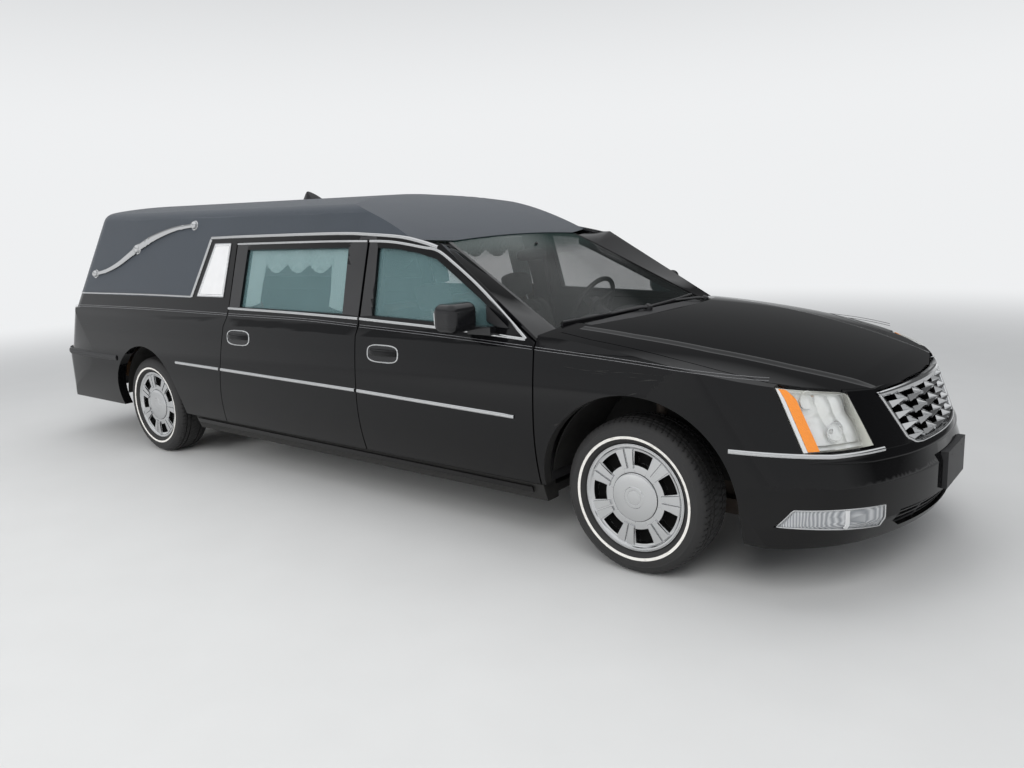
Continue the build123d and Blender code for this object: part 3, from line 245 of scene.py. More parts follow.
def satin_metal():
    g = Graph("satin silver", Metallic=0.9)
    streak = g.noise(160.0, 3.0, place=g.stretched((1.0, 0.12, 1.0)))
    colour = g.blend(streak, (0.56, 0.565, 0.575), (0.68, 0.685, 0.69))
    return g.finish(colour, streak * 0.12 + 0.2, streak, 0.00002, edge=0.0012)


def tinted_glass_and_painted_reflection():
    g = Graph("tinted glass and painted reflection", Specular_IOR_Level=0.5, IOR=1.5)
    film = g.noise(5.0, 3.0)
    # The pale teal base colour is the glass's green tint together with a painted sky reflection, a milky veil
    # over what lies behind
    colour = g.blend(film, (0.13, 0.225, 0.235), (0.16, 0.27, 0.28))
    return g.finish(colour, film * 0.03 + 0.01, Alpha=film * 0.04 + 0.34)


def screen_glass():
    """Clear glass with a green band at its top, black fired edges at its sides and foot."""
    g = Graph("screen glass", Specular_IOR_Level=0.5, IOR=1.45)
    _, y, z = g.axes()
    film = g.noise(4.0, 3.0)
    foot = 1.0 - z.ramp(1.008, 1.02)
    band = z.ramp(1.30, 1.40)
    edge = y.size() + (z - 1.0) * 0.395
    sides = edge.ramp(0.724, 0.730)
    cover = (foot + sides).ramp(0.0, 0.9)
    tint = g.blend(band, (0.010, 0.015, 0.014), (0.016, 0.040, 0.035))
    colour = g.blend(cover, tint, (0.005, 0.005, 0.005))
    alpha = 0.26 + band * 0.34 + film * 0.03
    alpha = alpha + (1.0 - alpha) * cover
    return g.finish(colour, film * 0.03 + 0.01, Alpha=alpha)


def clear_lens():
    g = Graph("lamp lens", Coat_Weight=1.0, Coat_Roughness=0.02, IOR=1.5, Specular_IOR_Level=0.8)
    haze = g.noise(11.0, 4.0)
    _, y, z = g.axes()
    inner_edge = 1.0 - y.size().ramp(0.575, 0.640)
    # The lens grows opaque and pale at its top and inner edge: a painted reflection of the bright bowls; the
    # haze part adds random cloudiness
    haze_and_painted_reflection = haze.ramp(0.35, 0.75) * 0.10 + z.ramp(0.80, 0.87) * 0.45 + inner_edge * 0.5
    colour = g.blend(haze, (0.74, 0.75, 0.70), (0.80, 0.79, 0.68))
    return g.finish(colour, haze * 0.08 + 0.03, g.noise(70.0), 0.00002, Alpha=haze_and_painted_reflection + 0.08)


def fluted_lens():
    g = Graph("fluted lens", Coat_Weight=1.0, Coat_Roughness=0.03, IOR=1.5)
    x, y, _ = g.axes()
    flute = ((x - y * 0.7) * 1100.0).sine()
    colour = g.blend(flute * 0.5 + 0.5, (0.26, 0.275, 0.29), (0.56, 0.57, 0.58))
    return g.finish(colour, 0.12 + g.noise(30.0) * 0.1, flute, 0.0012, Metallic=0.35 + g.noise(14.0) * 0.3)


def red_lens():
    g = Graph("red lens", Coat_Weight=1.0, Coat_Roughness=0.03, IOR=1.5)
    rib = (g.axes()[2] * 620.0).sine()
    colour = g.blend(rib * 0.5 + 0.5, (0.20, 0.006, 0.006), (0.42, 0.012, 0.010))
    return g.finish(colour, 0.10 + g.noise(30.0) * 0.08, rib, 0.0006, edge=0.003)


def amber_lens():
    g = Graph("amber lens", Coat_Weight=1.0, Coat_Roughness=0.04, IOR=1.5)
    x, _, z = g.axes()
    prism = (z * 700.0).sine() * (x * 700.0).sine()
    colour = g.blend(prism * 0.5 + 0.5, (0.80, 0.20, 0.006), (0.95, 0.32, 0.012))
    return g.finish(colour, 0.16 + g.noise(30.0) * 0.08, prism, 0.0004)


def moulded_plastic(name, dark, pale, rough, grain_depth, scale):
    g = Graph(name, IOR=1.46)
    worn = g.noise(5.0, 4.0)
    grain = g.noise(scale, 2.0) + g.cells(scale * 0.7)
    return g.finish(g.blend(worn, dark, pale), worn * 0.16 + rough, grain, grain_depth, edge=0.002)


def coated_metal(name, dark, pale, rough, metallic):
    g = Graph(name, Metallic=metallic)
    mottle = g.noise(16.0, 6.0, 0.65)
    fine = g.noise(150.0, 3.0)
    colour = g.blend(mottle, dark, pale)
    return g.finish(colour, mottle * 0.25 + rough, fine + mottle, 0.0005, edge=0.002)


# Near-black painted shade for the insides of grille slots and wheel windows, where the real parts lie in
# shade
def painted_shade_recess():
    g = Graph("painted shade recess", Specular_IOR_Level=0.1, IOR=1.4)
    dust = g.noise(30.0, 4.0)
    colour = g.blend(dust, (0.0015, 0.0015, 0.0015), (0.007, 0.0068, 0.0065))
    return g.finish(colour, dust * 0.2 + 0.7, dust, 0.0004)


def rubber():
    g = Graph("tyre rubber", IOR=1.48)
    scuff = g.noise(18.0, 5.0, 0.6)
    colour = g.blend(scuff, (0.012, 0.012, 0.013), (0.028, 0.027, 0.026))
    return g.finish(colour, scuff * 0.2 + 0.52, g.noise(420.0, 2.0) + scuff, 0.0003)


def white_rubber():
    g = Graph("white rubber", IOR=1.48)
    scuff = g.noise(40.0, 5.0, 0.6)
    colour = g.blend(scuff.ramp(0.45, 0.8), (0.74, 0.72, 0.68), (0.52, 0.50, 0.46))
    return g.finish(colour, scuff * 0.2 + 0.45, scuff, 0.0002)


def woven(name, dark, pale, pitch, depth, sheen):
    """Plain weave: two sets of threads crossing on the piece's own UV map, pitch threads a metre."""
    g = Graph(name, Sheen_Weight=sheen, Sheen_Roughness=0.5, IOR=1.4)
    split = g.node("ShaderNodeSeparateXYZ", Vector=g.node("ShaderNodeUVMap").outputs[0])
    u, v = Value(g, split.outputs[0]), Value(g, split.outputs[1])
    thread = (u * (pitch * 6.283)).sine().size() * (v * (pitch * 6.283)).sine().size()
    shade = g.noise(6.0, 4.0) * 0.5 + thread * 0.5
    return g.finish(g.blend(shade, dark, pale), 0.78 + shade * 0.15, thread, depth)


def seat_leather():
    g = Graph("seat leather", IOR=1.46)
    worn = g.noise(7.0, 4.0)
    creases = g.cells(190.0) + g.cells(90.0) * 0.6 + g.noise(25.0, 4.0) * 0.7
    colour = g.blend(worn, (0.055, 0.053, 0.050), (0.095, 0.092, 0.086))
    return g.finish(colour, worn * 0.18 + 0.42, creases, 0.0008)


def bare_panel():
    g = Graph("white panel", Coat_Weight=0.5, Coat_Roughness=0.1, IOR=1.48)
    marks = g.noise(18.0, 5.0)
    colour = g.blend(marks, (0.60, 0.60, 0.60), (0.70, 0.70, 0.70))
    return g.finish(colour, marks * 0.12 + 0.25, g.noise(120.0), 0.00008)


def deck_board():
    g = Graph("deck board", Coat_Weight=0.3, Coat_Roughness=0.2, IOR=1.48)
    grain = g.noise(24.0, 5.0, 0.6, place=g.stretched((0.08, 1.0, 1.0)))
    lines = ((grain + g.noise(3.0, 2.0) * 0.4) * 24.0).sine() * 0.5 + 0.5
    colour = g.blend(lines, (0.055, 0.028, 0.013), (0.13, 0.07, 0.032))
    return g.finish(colour, lines * 0.15 + 0.3, lines, 0.0002)


def headliner():
    g = Graph("headliner cloth", Sheen_Weight=0.2, Sheen_Roughness=0.5, IOR=1.4)
    nap = g.noise(500.0, 2.0)
    colour = g.blend(g.noise(4.0, 3.0), (0.20, 0.205, 0.20), (0.26, 0.265, 0.26))
    return g.finish(colour, nap * 0.1 + 0.8, nap, 0.0005)


# Pale grey strip colour: a painted highlight where the shoulder crease catches the light
def painted_crease_highlight():
    g = Graph("painted_crease_highlight", Coat_Weight=0.8, Coat_Roughness=0.05, IOR=1.48)
    worn = g.noise(40.0, 3.0)
    return g.finish(g.blend(worn, (0.10, 0.10, 0.105), (0.15, 0.15, 0.155)), worn * 0.1 + 0.25)


PAINT = gloss_paint()
VINYL = vinyl_cover()
CHROME = bright_metal()
SATIN = satin_metal()
GLASS = tinted_glass_and_painted_reflection()
SCREEN = screen_glass()
LENS = clear_lens()
FLUTED = fluted_lens()
RED = red_lens()
AMBER = amber_lens()
PLASTIC = moulded_plastic("black plastic", (0.010, 0.010, 0.011), (0.024, 0.024, 0.025), 0.42, 0.0003, 300.0)
PILLAR = moulded_plastic("satin pillar cover", (0.016, 0.016, 0.017), (0.026, 0.026, 0.027), 0.30, 0.00012,
                         500.0)
PIANO = moulded_plastic("gloss black trim", (0.006, 0.006, 0.007), (0.010, 0.010, 0.011), 0.08, 0.00002,
                        200.0)
UNDER = coated_metal("underbody coating", (0.008, 0.008, 0.008), (0.022, 0.021, 0.019), 0.6, 0.0)
IRON = coated_metal("cast iron", (0.05, 0.045, 0.04), (0.13, 0.10, 0.08), 0.55, 0.5)
PAINTED_SHADE = painted_shade_recess()
REFLECTOR = coated_metal("lamp reflector", (0.84, 0.86, 0.87), (0.93, 0.94, 0.94), 0.08, 0.45)
STEEL = coated_metal("worn steel", (0.22, 0.22, 0.22), (0.36, 0.36, 0.35), 0.35, 0.9)
RUBBER = rubber()
WHITEWALL = white_rubber()
CURTAIN = woven("curtain cloth", (0.50, 0.62, 0.61), (0.74, 0.86, 0.85), 900.0, 0.0003, 0.3)
LEATHER = seat_leather()
PANEL = bare_panel()
HEADLINER = headliner()
PAINTED_CREASE_HIGHLIGHT = painted_crease_highlight()
BOARD = deck_board()

SLOT_FINISH = {"black_paint": PAINT, "vinyl": VINYL, "chrome": CHROME, "glass": GLASS, "lamp_lens": LENS,
               "red_lens": RED, "black_plastic": PLASTIC, "gloss_black": PIANO, "underbody": UNDER,
               "deck_board": BOARD, "seat_cloth": LEATHER, "curtain_cloth": CURTAIN, "tyre": RUBBER,
               "cast_iron": IRON, "steel": STEEL}
NODE_FINISH = {"windscreen": SCREEN, "fog_lamps": FLUTED}


# Body surfaces
def circle_through(first, second, third):
    """Centre and radius of the circle through three points."""
    rows = 2.0 * np.array([np.subtract(second, first), np.subtract(third, first)])
    square = [np.dot(p, p) for p in (first, second, third)]
    centre = np.linalg.solve(rows, [square[1] - square[0], square[2] - square[0]])
    return centre, np.hypot(*np.subtract(first, centre))


LOW_ARC = circle_through(*SIDE_POINTS[0:3])
HIGH_ARC = circle_through(*SIDE_POINTS[2:5])


def upper_half(z):
    """Half-width of the leaning upper body at a height."""
    return SHOULDER_HALF - TUMBLEHOME * (np.asarray(z, float) - SHOULDER_Z)


def side_half(z):
    """Half-width of the body's side at a height: two arcs, a short slope at the shoulder, then a leaning
    line."""
    z = np.asarray(z, float)
    low, high = (arc[0][0] + np.sqrt(np.maximum(arc[1] ** 2 - (z - arc[0][1]) ** 2, 0))
                 for arc in (LOW_ARC, HIGH_ARC))
    slope = 0.923 - 0.5 * (z - 0.950)
    return np.select([z < 0.61, z < 0.95, z < SHOULDER_Z], [low, high, slope], upper_half(z))


def tail_shift(z):
    """How far the tail above its step stands ahead of the lower tail at a height."""
    return TAIL_STEP + TAIL_SLOPE * (z - TAIL_LEAN_Z)


def unit(v):
    """The same directions at length one."""
    return v / np.linalg.norm(v, axis=-1, keepdims=True)


def side_normal(z):
    """Outward direction of the left side at a height, from the slope of the half-width."""
    step = 0.001
    slope = (side_half(z + step) - side_half(z - step)) / (2 * step)
    return unit(np.stack([np.zeros_like(slope), np.ones_like(slope), -slope], -1))


def end_plan(angle, tip, half, radii, facing):
    """Rounded end in plan at a direction angle: crown, corner and side arcs, each tangent to the next."""
    crown, corner, side = radii
    turn = radians(84.0) if side else radians(90.0)
    reach = side or corner
    start = np.arcsin((half + (reach - corner) * sin(turn) - reach) / (crown - corner))
    c1 = crown - corner
    cx1, cy1 = -c1 * np.cos(start) * -1.0 - crown, c1 * np.sin(start)
    c2 = corner - reach
    cx2, cy2 = cx1 + c2 * cos(turn), cy1 + c2 * sin(turn)
    x = np.select([angle < start, angle < turn],
                  [crown * np.cos(angle) - crown, cx1 + corner * np.cos(angle)], cx2 + reach * np.cos(angle))
    y = np.select([angle < start, angle < turn], [crown * np.sin(angle), cy1 + corner * np.sin(angle)],
                  cy2 + reach * np.sin(angle))
    return tip + facing * x, y


def nose_lean(z):
    """How far the nose's plan outline shifts along X at a height."""
    z = np.asarray(z, float)
    return -0.36 * np.maximum(z - 0.470, 0) - 0.55 * np.maximum(0.330 - z, 0)


ANGLES = np.linspace(0.0, np.pi / 2, 2000)
NOSE_X_OF, NOSE_Y_OF = end_plan(ANGLES, NOSE_X, HALF_WIDTH, NOSE_RADII, 1.0)
TAIL_X_OF, TAIL_Y_OF = end_plan(ANGLES, TAIL_X, HALF_WIDTH, TAIL_RADII, -1.0)


def nose_point(y, z, out=0.0):
    """Point of the nose at a distance across the car and a height, moved out along its plan direction."""
    y, z = np.broadcast_arrays(np.asarray(y, float), np.asarray(z, float))
    angle = np.interp(np.abs(y), NOSE_Y_OF, ANGLES)
    x, across = end_plan(angle, NOSE_X, HALF_WIDTH, NOSE_RADII, 1.0)
    return np.stack([x + nose_lean(z) + out * np.cos(angle), np.sign(y) * (across + out * np.sin(angle)), z],
                    -1)


def nose_out(y, z):
    """Outward direction of the nose there."""
    y, z = np.broadcast_arrays(np.asarray(y, float), np.asarray(z, float))
    angle = np.interp(np.abs(y), NOSE_Y_OF, ANGLES)
    lean = np.where(z > 0.470, 0.36, np.where(z < 0.330, -0.55, 0.0))
    return unit(np.stack([np.cos(angle), np.sign(y) * np.sin(angle), np.cos(angle) * lean], -1))


def side_point(x, z, out=0.0):
    """Point of the left side at a station and a height, moved out along the side's direction."""
    x, z = np.broadcast_arrays(np.asarray(x, float), np.asarray(z, float))
    front = np.interp(x - nose_lean(z), NOSE_X_OF[::-1], NOSE_Y_OF[::-1])
    back = np.interp(x - np.where(z > TAIL_LEAN_Z, tail_shift(z), 0.0), TAIL_X_OF, TAIL_Y_OF)
    y = np.minimum(side_half(z), np.where(x > 1.7, front, np.where(x < -2.0, back, np.inf)))
    return np.stack([x, y, z], -1) + out * side_normal(z)


def upper_tail(angle, z, out=0.0):
    """Point of the leaning upper body round its rear corner, from the tail's middle to the left side."""
    x, y = end_plan(angle, TAIL_X + tail_shift(z), upper_half(z), (TAIL_CROWN_R, UPPER_CORNER_R, 0.0), -1.0)
    return np.stack([x - out * np.cos(angle), y + out * np.sin(angle), z * np.ones_like(x)], -1)


# Mesh making
def linked(name, data):
    """An object of that data, linked to the scene."""
    made = bpy.data.objects.new(name, data)
    bpy.context.scene.collection.objects.link(made)
    return made


def points_of(mesh):
    """The mesh's points, one row each."""
    flat = np.zeros(len(mesh.vertices) * 3)
    mesh.vertices.foreach_get("co", flat)
    return flat.reshape(-1, 3)


def new_piece(name, points, faces, materials, body, slot, smooth=True, face_slots=None):
    """A piece from points and faces, riding on a body, with its finishes."""
    mesh = bpy.data.meshes.new(name)
    mesh.from_pydata(np.asarray(points, float).reshape(-1, 3), [], faces)
    piece = linked(name, mesh)
    for material in materials if isinstance(materials, (list, tuple)) else (materials,):
        mesh.materials.append(material)
    if face_slots is not None:
        mesh.polygons.foreach_set("material_index", np.asarray(face_slots, np.int32))
    mesh.polygons.foreach_set("use_smooth", np.full(len(mesh.polygons), smooth))
    if smooth:
        mesh.set_sharp_from_angle(angle=SMOOTH_BELOW)
    mesh.validate()
    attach(piece, body)
    return piece


def grid_faces(rows, columns, wrap_rows=False, wrap_columns=False, base=0, turn=False):
    """Quads of a grid of points; a wrapped direction joins its last line to its first, turn reverses
    them."""
    r = np.arange(rows if wrap_rows else rows - 1)[:, None]
    c = np.arange(columns if wrap_columns else columns - 1)[None, :]
    a = r * columns + c
    b = r * columns + (c + 1) % columns
    d = ((r + 1) % rows) * columns + c
    e = ((r + 1) % rows) * columns + (c + 1) % columns
    quads = np.stack([a, d, e, b] if turn else [a, b, e, d], -1).reshape(-1, 4) + base
    return quads.tolist()


def grid_edge(rows, columns):
    """The points round a grid's edge, in order."""
    return np.concatenate([np.arange(columns), np.arange(1, rows) * columns + columns - 1,
                           rows * columns - 2 - np.arange(columns - 1), np.arange(rows - 2, 0, -1) * columns])


def solid_sheet(name, front, thickness, materials, body, slot, inward):
    """A sheet with a wall: a grid of outer points, the same grid moved inwards, and a rim between them."""
    rows, columns = front.shape[:2]
    back = front + inward * thickness
    points = np.concatenate([front.reshape(-1, 3), back.reshape(-1, 3)])
    count = rows * columns
    edge = grid_edge(rows, columns)
    nxt = np.roll(edge, -1)
    rim = np.stack([edge, edge + count, nxt + count, nxt], -1).tolist()
    flat = np.cross(front[1, 0] - front[0, 0], front[0, 1] - front[0, 0])
    middle = inward.reshape(-1, 3).mean(0)
    turned = float(np.dot(flat, middle)) > 0
    faces = grid_faces(rows, columns, turn=not turned) + grid_faces(rows, columns, base=count, turn=turned)
    faces += rim if turned else [f[::-1] for f in rim]
    return new_piece(name, points, [f[::-1] for f in faces], materials, body, slot)


def sheet_pair(name, front, thickness, material, bodies, slot, inward, replaces=None):
    """The same walled sheet on both sides; the left one may stand for a CAD node."""
    for (side, sign), body in zip(SIDES, bodies):
        flip = np.array([1, sign, 1])
        piece = solid_sheet(f"{name}_{side}", front * flip, thickness, material, body, slot, inward * flip)
        if replaces and sign > 0:
            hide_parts(replaces)


def smooth_path(points, count):
    """Points spaced evenly along a line that is rounded through its corners (Catmull-Rom in each span)."""
    p = np.asarray(points, float)
    if len(p) == 2:
        return p[0] + (p[1] - p[0]) * np.linspace(0, 1, count)[:, None]
    pad = np.vstack([2 * p[0] - p[1], p, 2 * p[-1] - p[-2]])
    length = np.concatenate([[0], np.cumsum(np.linalg.norm(np.diff(p, axis=0), axis=1))])
    where = np.interp(np.linspace(0, length[-1], count), length, np.arange(len(p)))
    i = np.minimum(where.astype(int), len(p) - 2)
    t = (where - i)[:, None]
    a, b, c, d = pad[i], pad[i + 1], pad[i + 2], pad[i + 3]
    return 0.5 * (2 * b + (c - a) * t + (2 * a - 5 * b + 4 * c - d) * t ** 2
                  + (3 * b - a - 3 * c + d) * t ** 3)


def swollen(wave, power):
    """A sine or cosine raised to a power with its sign kept, which makes a circle squarer."""
    return np.sign(wave) * np.abs(wave) ** power


def half_round(width, height, sink=0.002, count=9):
    """Profile of a moulding: half an ellipse over a sunk foot, as (across, outward) pairs."""
    a = np.linspace(np.pi, 0, count)
    across, out = 0.5 * width * np.cos(a), height * np.sin(a)
    return np.concatenate([[[-0.5 * width, -sink]], np.stack([across, out], -1), [[0.5 * width, -sink]]])


def flat_bar(width, height, sink=0.002, edge=0.0012):
    """Profile of a flat moulding with chamfered corners."""
    w = 0.5 * width
    return np.array([[-w, -sink], [-w, height - edge], [-w + edge, height], [w - edge, height],
                     [w, height - edge], [w, -sink]])


def round_bar(radius, count=12):
    """Profile of a round bar."""
    a = np.linspace(0, 2 * np.pi, count, endpoint=False)
    return np.stack([radius * np.cos(a), radius * np.sin(a)], -1)


def carried(path, out, profile, closed=False, scale=None):
    """A profile carried along a path: across is tangent x out; both ends are capped unless the path
    closes."""
    path = np.asarray(path, float)
    tangent = np.gradient(path, axis=0)
    if closed:
        tangent = np.roll(path, -1, 0) - np.roll(path, 1, 0)
    tangent = unit(tangent)
    across = unit(np.cross(tangent, np.broadcast_to(out, path.shape)))
    up = np.cross(across, tangent)
    size = np.ones(len(path)) if scale is None else scale
    points = (path[:, None] + profile[None, :, :1] * across[:, None] * size[:, None, None]
              + profile[None, :, 1:] * up[:, None] * size[:, None, None])
    n, m = points.shape[:2]
    faces = grid_faces(n, m, wrap_rows=closed, wrap_columns=True)
    if not closed:
        faces += [list(range(m))[::-1], list(range((n - 1) * m, n * m))]
    return points.reshape(-1, 3), faces


def joined(*shapes):
    """Several shapes as one list of points and faces."""
    points, faces, base = [], [], 0
    for p, f in shapes:
        points.append(np.asarray(p).reshape(-1, 3))
        faces += [[i + base for i in face] for face in f]
        base += len(points[-1])
    return np.concatenate(points), faces


def other_side(shape):
    """The shape's mirror image across the car, its faces turned so that they still point outwards."""
    points, faces = shape
    return np.asarray(points).reshape(-1, 3) * (1, -1, 1), [list(f)[::-1] for f in faces]


def outwards(shape):
    """Turns every face when the closed shape's signed volume is negative."""
    points, faces = np.asarray(shape[0]).reshape(-1, 3), shape[1]
    volume = 0.0
    for size in {len(f) for f in faces}:
        corners = points[np.array([f for f in faces if len(f) == size])]
        for k in range(1, size - 1):
            volume += np.einsum("ij,ij->i", corners[:, 0], np.cross(corners[:, k], corners[:, k + 1])).sum()
    return (points, faces) if volume > 0 else (points, [list(f)[::-1] for f in faces])


def on_side(shape, sign):
    """The left side's shape, or its mirror image for the right side."""
    return shape if sign > 0 else other_side(shape)


def pair(name, shape, materials, bodies, slot, replaces=None):
    """The same closed shape on both sides; the left one may stand for a CAD node."""
    shape = outwards(shape)
    for (side, sign), body in zip(SIDES, bodies):
        piece = new_piece(f"{name}_{side}", *on_side(shape, sign), materials, body, slot)
        if replaces and sign > 0:
            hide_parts(replaces)


def turned_form(profile, axis_point, axis, steps):
    """Profile of (radius, along) pairs turned about an axis; ends at radius 0 close to a point."""
    axis = unit(np.asarray(axis, float))
    first = unit(np.cross(axis, (0.0, 0.0, 1.0) if abs(axis[2]) < 0.9 else (1.0, 0.0, 0.0)))
    second = np.cross(axis, first)
    profile = np.asarray(profile, float)
    a = np.linspace(0, 2 * np.pi, steps, endpoint=False)[:, None, None]
    points = (np.asarray(axis_point) + profile[None, :, 1:] * axis
              + profile[None, :, :1] * (np.cos(a) * first + np.sin(a) * second))
    return points.reshape(-1, 3), grid_faces(steps, len(profile), wrap_rows=True)


def merged(shape, distance=1e-6):
    """The same shape with points that coincide made one, and faces that fold to nothing dropped."""
    points, faces = np.asarray(shape[0]).reshape(-1, 3), shape[1]
    _, first, back = np.unique(np.round(points / distance).astype(np.int64), axis=0, return_index=True,
                               return_inverse=True)
    back = back.reshape(-1)
    kept = []
    for face in faces:
        ring = [int(back[i]) for i in face]
        ring = [v for k, v in enumerate(ring) if v != ring[k - 1]]
        if len(set(ring)) > 2:
            kept.append(ring)
    return points[first], kept


def turned_solid(profile, axis_point, axis, steps):
    """A closed turned form whose ends lie on its axis, faces outwards."""
    return outwards(merged(turned_form(profile, axis_point, axis, steps)))


def quad_grid(corners, rows, columns):
    """Evenly spread points inside a four-cornered outline."""
    a, b, c, d = np.asarray(corners, float)
    u, v = np.meshgrid(np.linspace(0, 1, columns), np.linspace(0, 1, rows))
    low, high = a + (b - a) * u[..., None], d + (c - d) * u[..., None]
    return low + (high - low) * v[..., None]


# CAD panels with the body's own curvature in their shading
def near_side(p):
    """Distance from the lower side wall and its direction."""
    half = side_half(p[:, 2])
    out = side_normal(p[:, 2])
    distance = (np.abs(p[:, 1]) - half) * out[:, 1]
    out = out * np.stack([np.ones(len(p)), np.sign(p[:, 1]), np.ones(len(p))], -1)
    return distance, out


def near_nose(p):
    """Distance from the raked nose and its direction."""
    angle = np.interp(np.abs(p[:, 1]), NOSE_Y_OF, ANGLES)
    x = np.interp(angle, ANGLES, NOSE_X_OF)
    return (p[:, 0] - nose_lean(p[:, 2]) - x) * np.cos(angle), nose_out(p[:, 1], p[:, 2])


def near_tail(p):
    """Distance from the lower tail and its direction."""
    angle = np.interp(np.abs(p[:, 1]), TAIL_Y_OF, ANGLES)
    x = np.interp(angle, ANGLES, TAIL_X_OF)
    upper = p[:, 2] > TAIL_LEAN_Z
    lean = np.where(upper, tail_shift(p[:, 2]), 0.0)
    out = [-np.cos(angle), np.sign(p[:, 1]) * np.sin(angle), TAIL_SLOPE * np.cos(angle) * upper]
    return (x + lean - p[:, 0]) * np.cos(angle), unit(np.stack(out, -1))


def near_upper(p):
    """Distance from the leaning upper body, its crowned tail and round rear corners, and its direction."""
    half, y = upper_half(p[:, 2]), np.abs(p[:, 1])
    inner = TAIL_CROWN_R - UPPER_CORNER_R
    start = np.arcsin((half - UPPER_CORNER_R) / inner)
    tip = TAIL_X + tail_shift(p[:, 2])
    corner_x, corner_y = tip + TAIL_CROWN_R - inner * np.cos(start), inner * np.sin(start)
    on_crown = y < TAIL_CROWN_R * np.sin(start)
    on_side = p[:, 0] > corner_x
    angle = np.where(on_crown, np.arcsin(np.minimum(y / TAIL_CROWN_R, 1)),
                     np.arctan2(np.maximum(y - corner_y, 0), np.maximum(corner_x - p[:, 0], 0)))
    angle = np.where(on_side, np.pi / 2, angle)
    reach = np.where(on_crown, np.hypot(p[:, 0] - tip - TAIL_CROWN_R, y) - TAIL_CROWN_R,
                     np.hypot(p[:, 0] - corner_x, y - corner_y) - UPPER_CORNER_R)
    distance = np.where(on_side, y - half, reach)
    out = [-np.cos(angle), np.sign(p[:, 1]) * np.sin(angle),
           TAIL_SLOPE * np.cos(angle) + TUMBLEHOME * np.sin(angle)]
    return distance * 0.94, unit(np.stack(out, -1))


def near_roof(p):
    """Distance from the crowned roof top, a long cylinder that rises to the rear, and its direction."""
    level = np.sqrt(ROOF_CROWN_R ** 2 - p[:, 1] ** 2)
    height = ROOF_FRONT_Z - ROOF_RISE * (p[:, 0] - 0.05) - (ROOF_CROWN_R - level)
    out = [np.full(len(p), ROOF_RISE), p[:, 1] / level, np.ones(len(p))]
    return p[:, 2] - height, unit(np.stack(out, -1))


ROOF_SWEEP = circle_through((3.990, 1.380), (3.600, 1.564), (3.060, 1.697))


def near_slope(p):
    """Distance from the roof's front slope, an arc turned about an upright line at x = -3, and its
    direction."""
    radial = np.hypot(p[:, 0] + 3.0, p[:, 1])
    r, h = radial - ROOF_SWEEP[0][0], p[:, 2] - ROOF_SWEEP[0][1]
    reach = np.hypot(r, h)
    out = np.stack([r / reach * (p[:, 0] + 3.0) / radial, r / reach * p[:, 1] / radial, h / reach], -1)
    return reach - ROOF_SWEEP[1], out


SURFACES = (near_side, near_nose, near_tail, near_upper, near_roof, near_slope)


def finer(points, faces, surface, longest):
    """Triangles divided at the middles of their long sides that lie on a body surface, with the new points
    moved onto it, so that it curves evenly."""
    for _ in range(3):
        pairs = np.sort(faces[:, [[0, 1], [1, 2], [2, 0]]], axis=2).reshape(-1, 2)
        edge, where = np.unique(pairs, axis=0, return_inverse=True)
        ends, half_way = points[edge], points[edge].mean(1)
        distance = surface(points)[0][edge]
        gap, out = surface(half_way)
        split = np.linalg.norm(ends[:, 0] - ends[:, 1], axis=1) > longest
        split &= (np.abs(distance) < ON_SURFACE).all(1) & (np.abs(gap) < 0.004)
        if not split.any():
            return points, faces
        middle = np.full(len(edge), -1)
        middle[split] = len(points) + np.arange(split.sum())
        points = np.vstack([points, half_way[split] - gap[split, None] * out[split]])
        cut = middle[where.reshape(-1, 3)]
        count = (cut >= 0).sum(1)
        parts = [faces[count == 0]]
        for number in (1, 2, 3):
            f, a = faces[count == number], cut[count == number]
            first = (np.argmin(a, 1) + 1) % 3 if number == 2 else np.argmax(a >= 0, 1)
            order = (first[:, None] + np.arange(3)) % 3
            both_ways = np.hstack([np.take_along_axis(f, order, 1), np.take_along_axis(a, order, 1)])
            for corners in {1: ((0, 3, 2), (3, 1, 2)), 2: ((3, 1, 4), (0, 3, 4), (0, 4, 2)),
                            3: ((0, 3, 5), (3, 1, 4), (5, 4, 2), (3, 4, 5))}[number]:
                parts.append(both_ways[:, corners])
        faces = np.vstack(parts)
    return points, faces


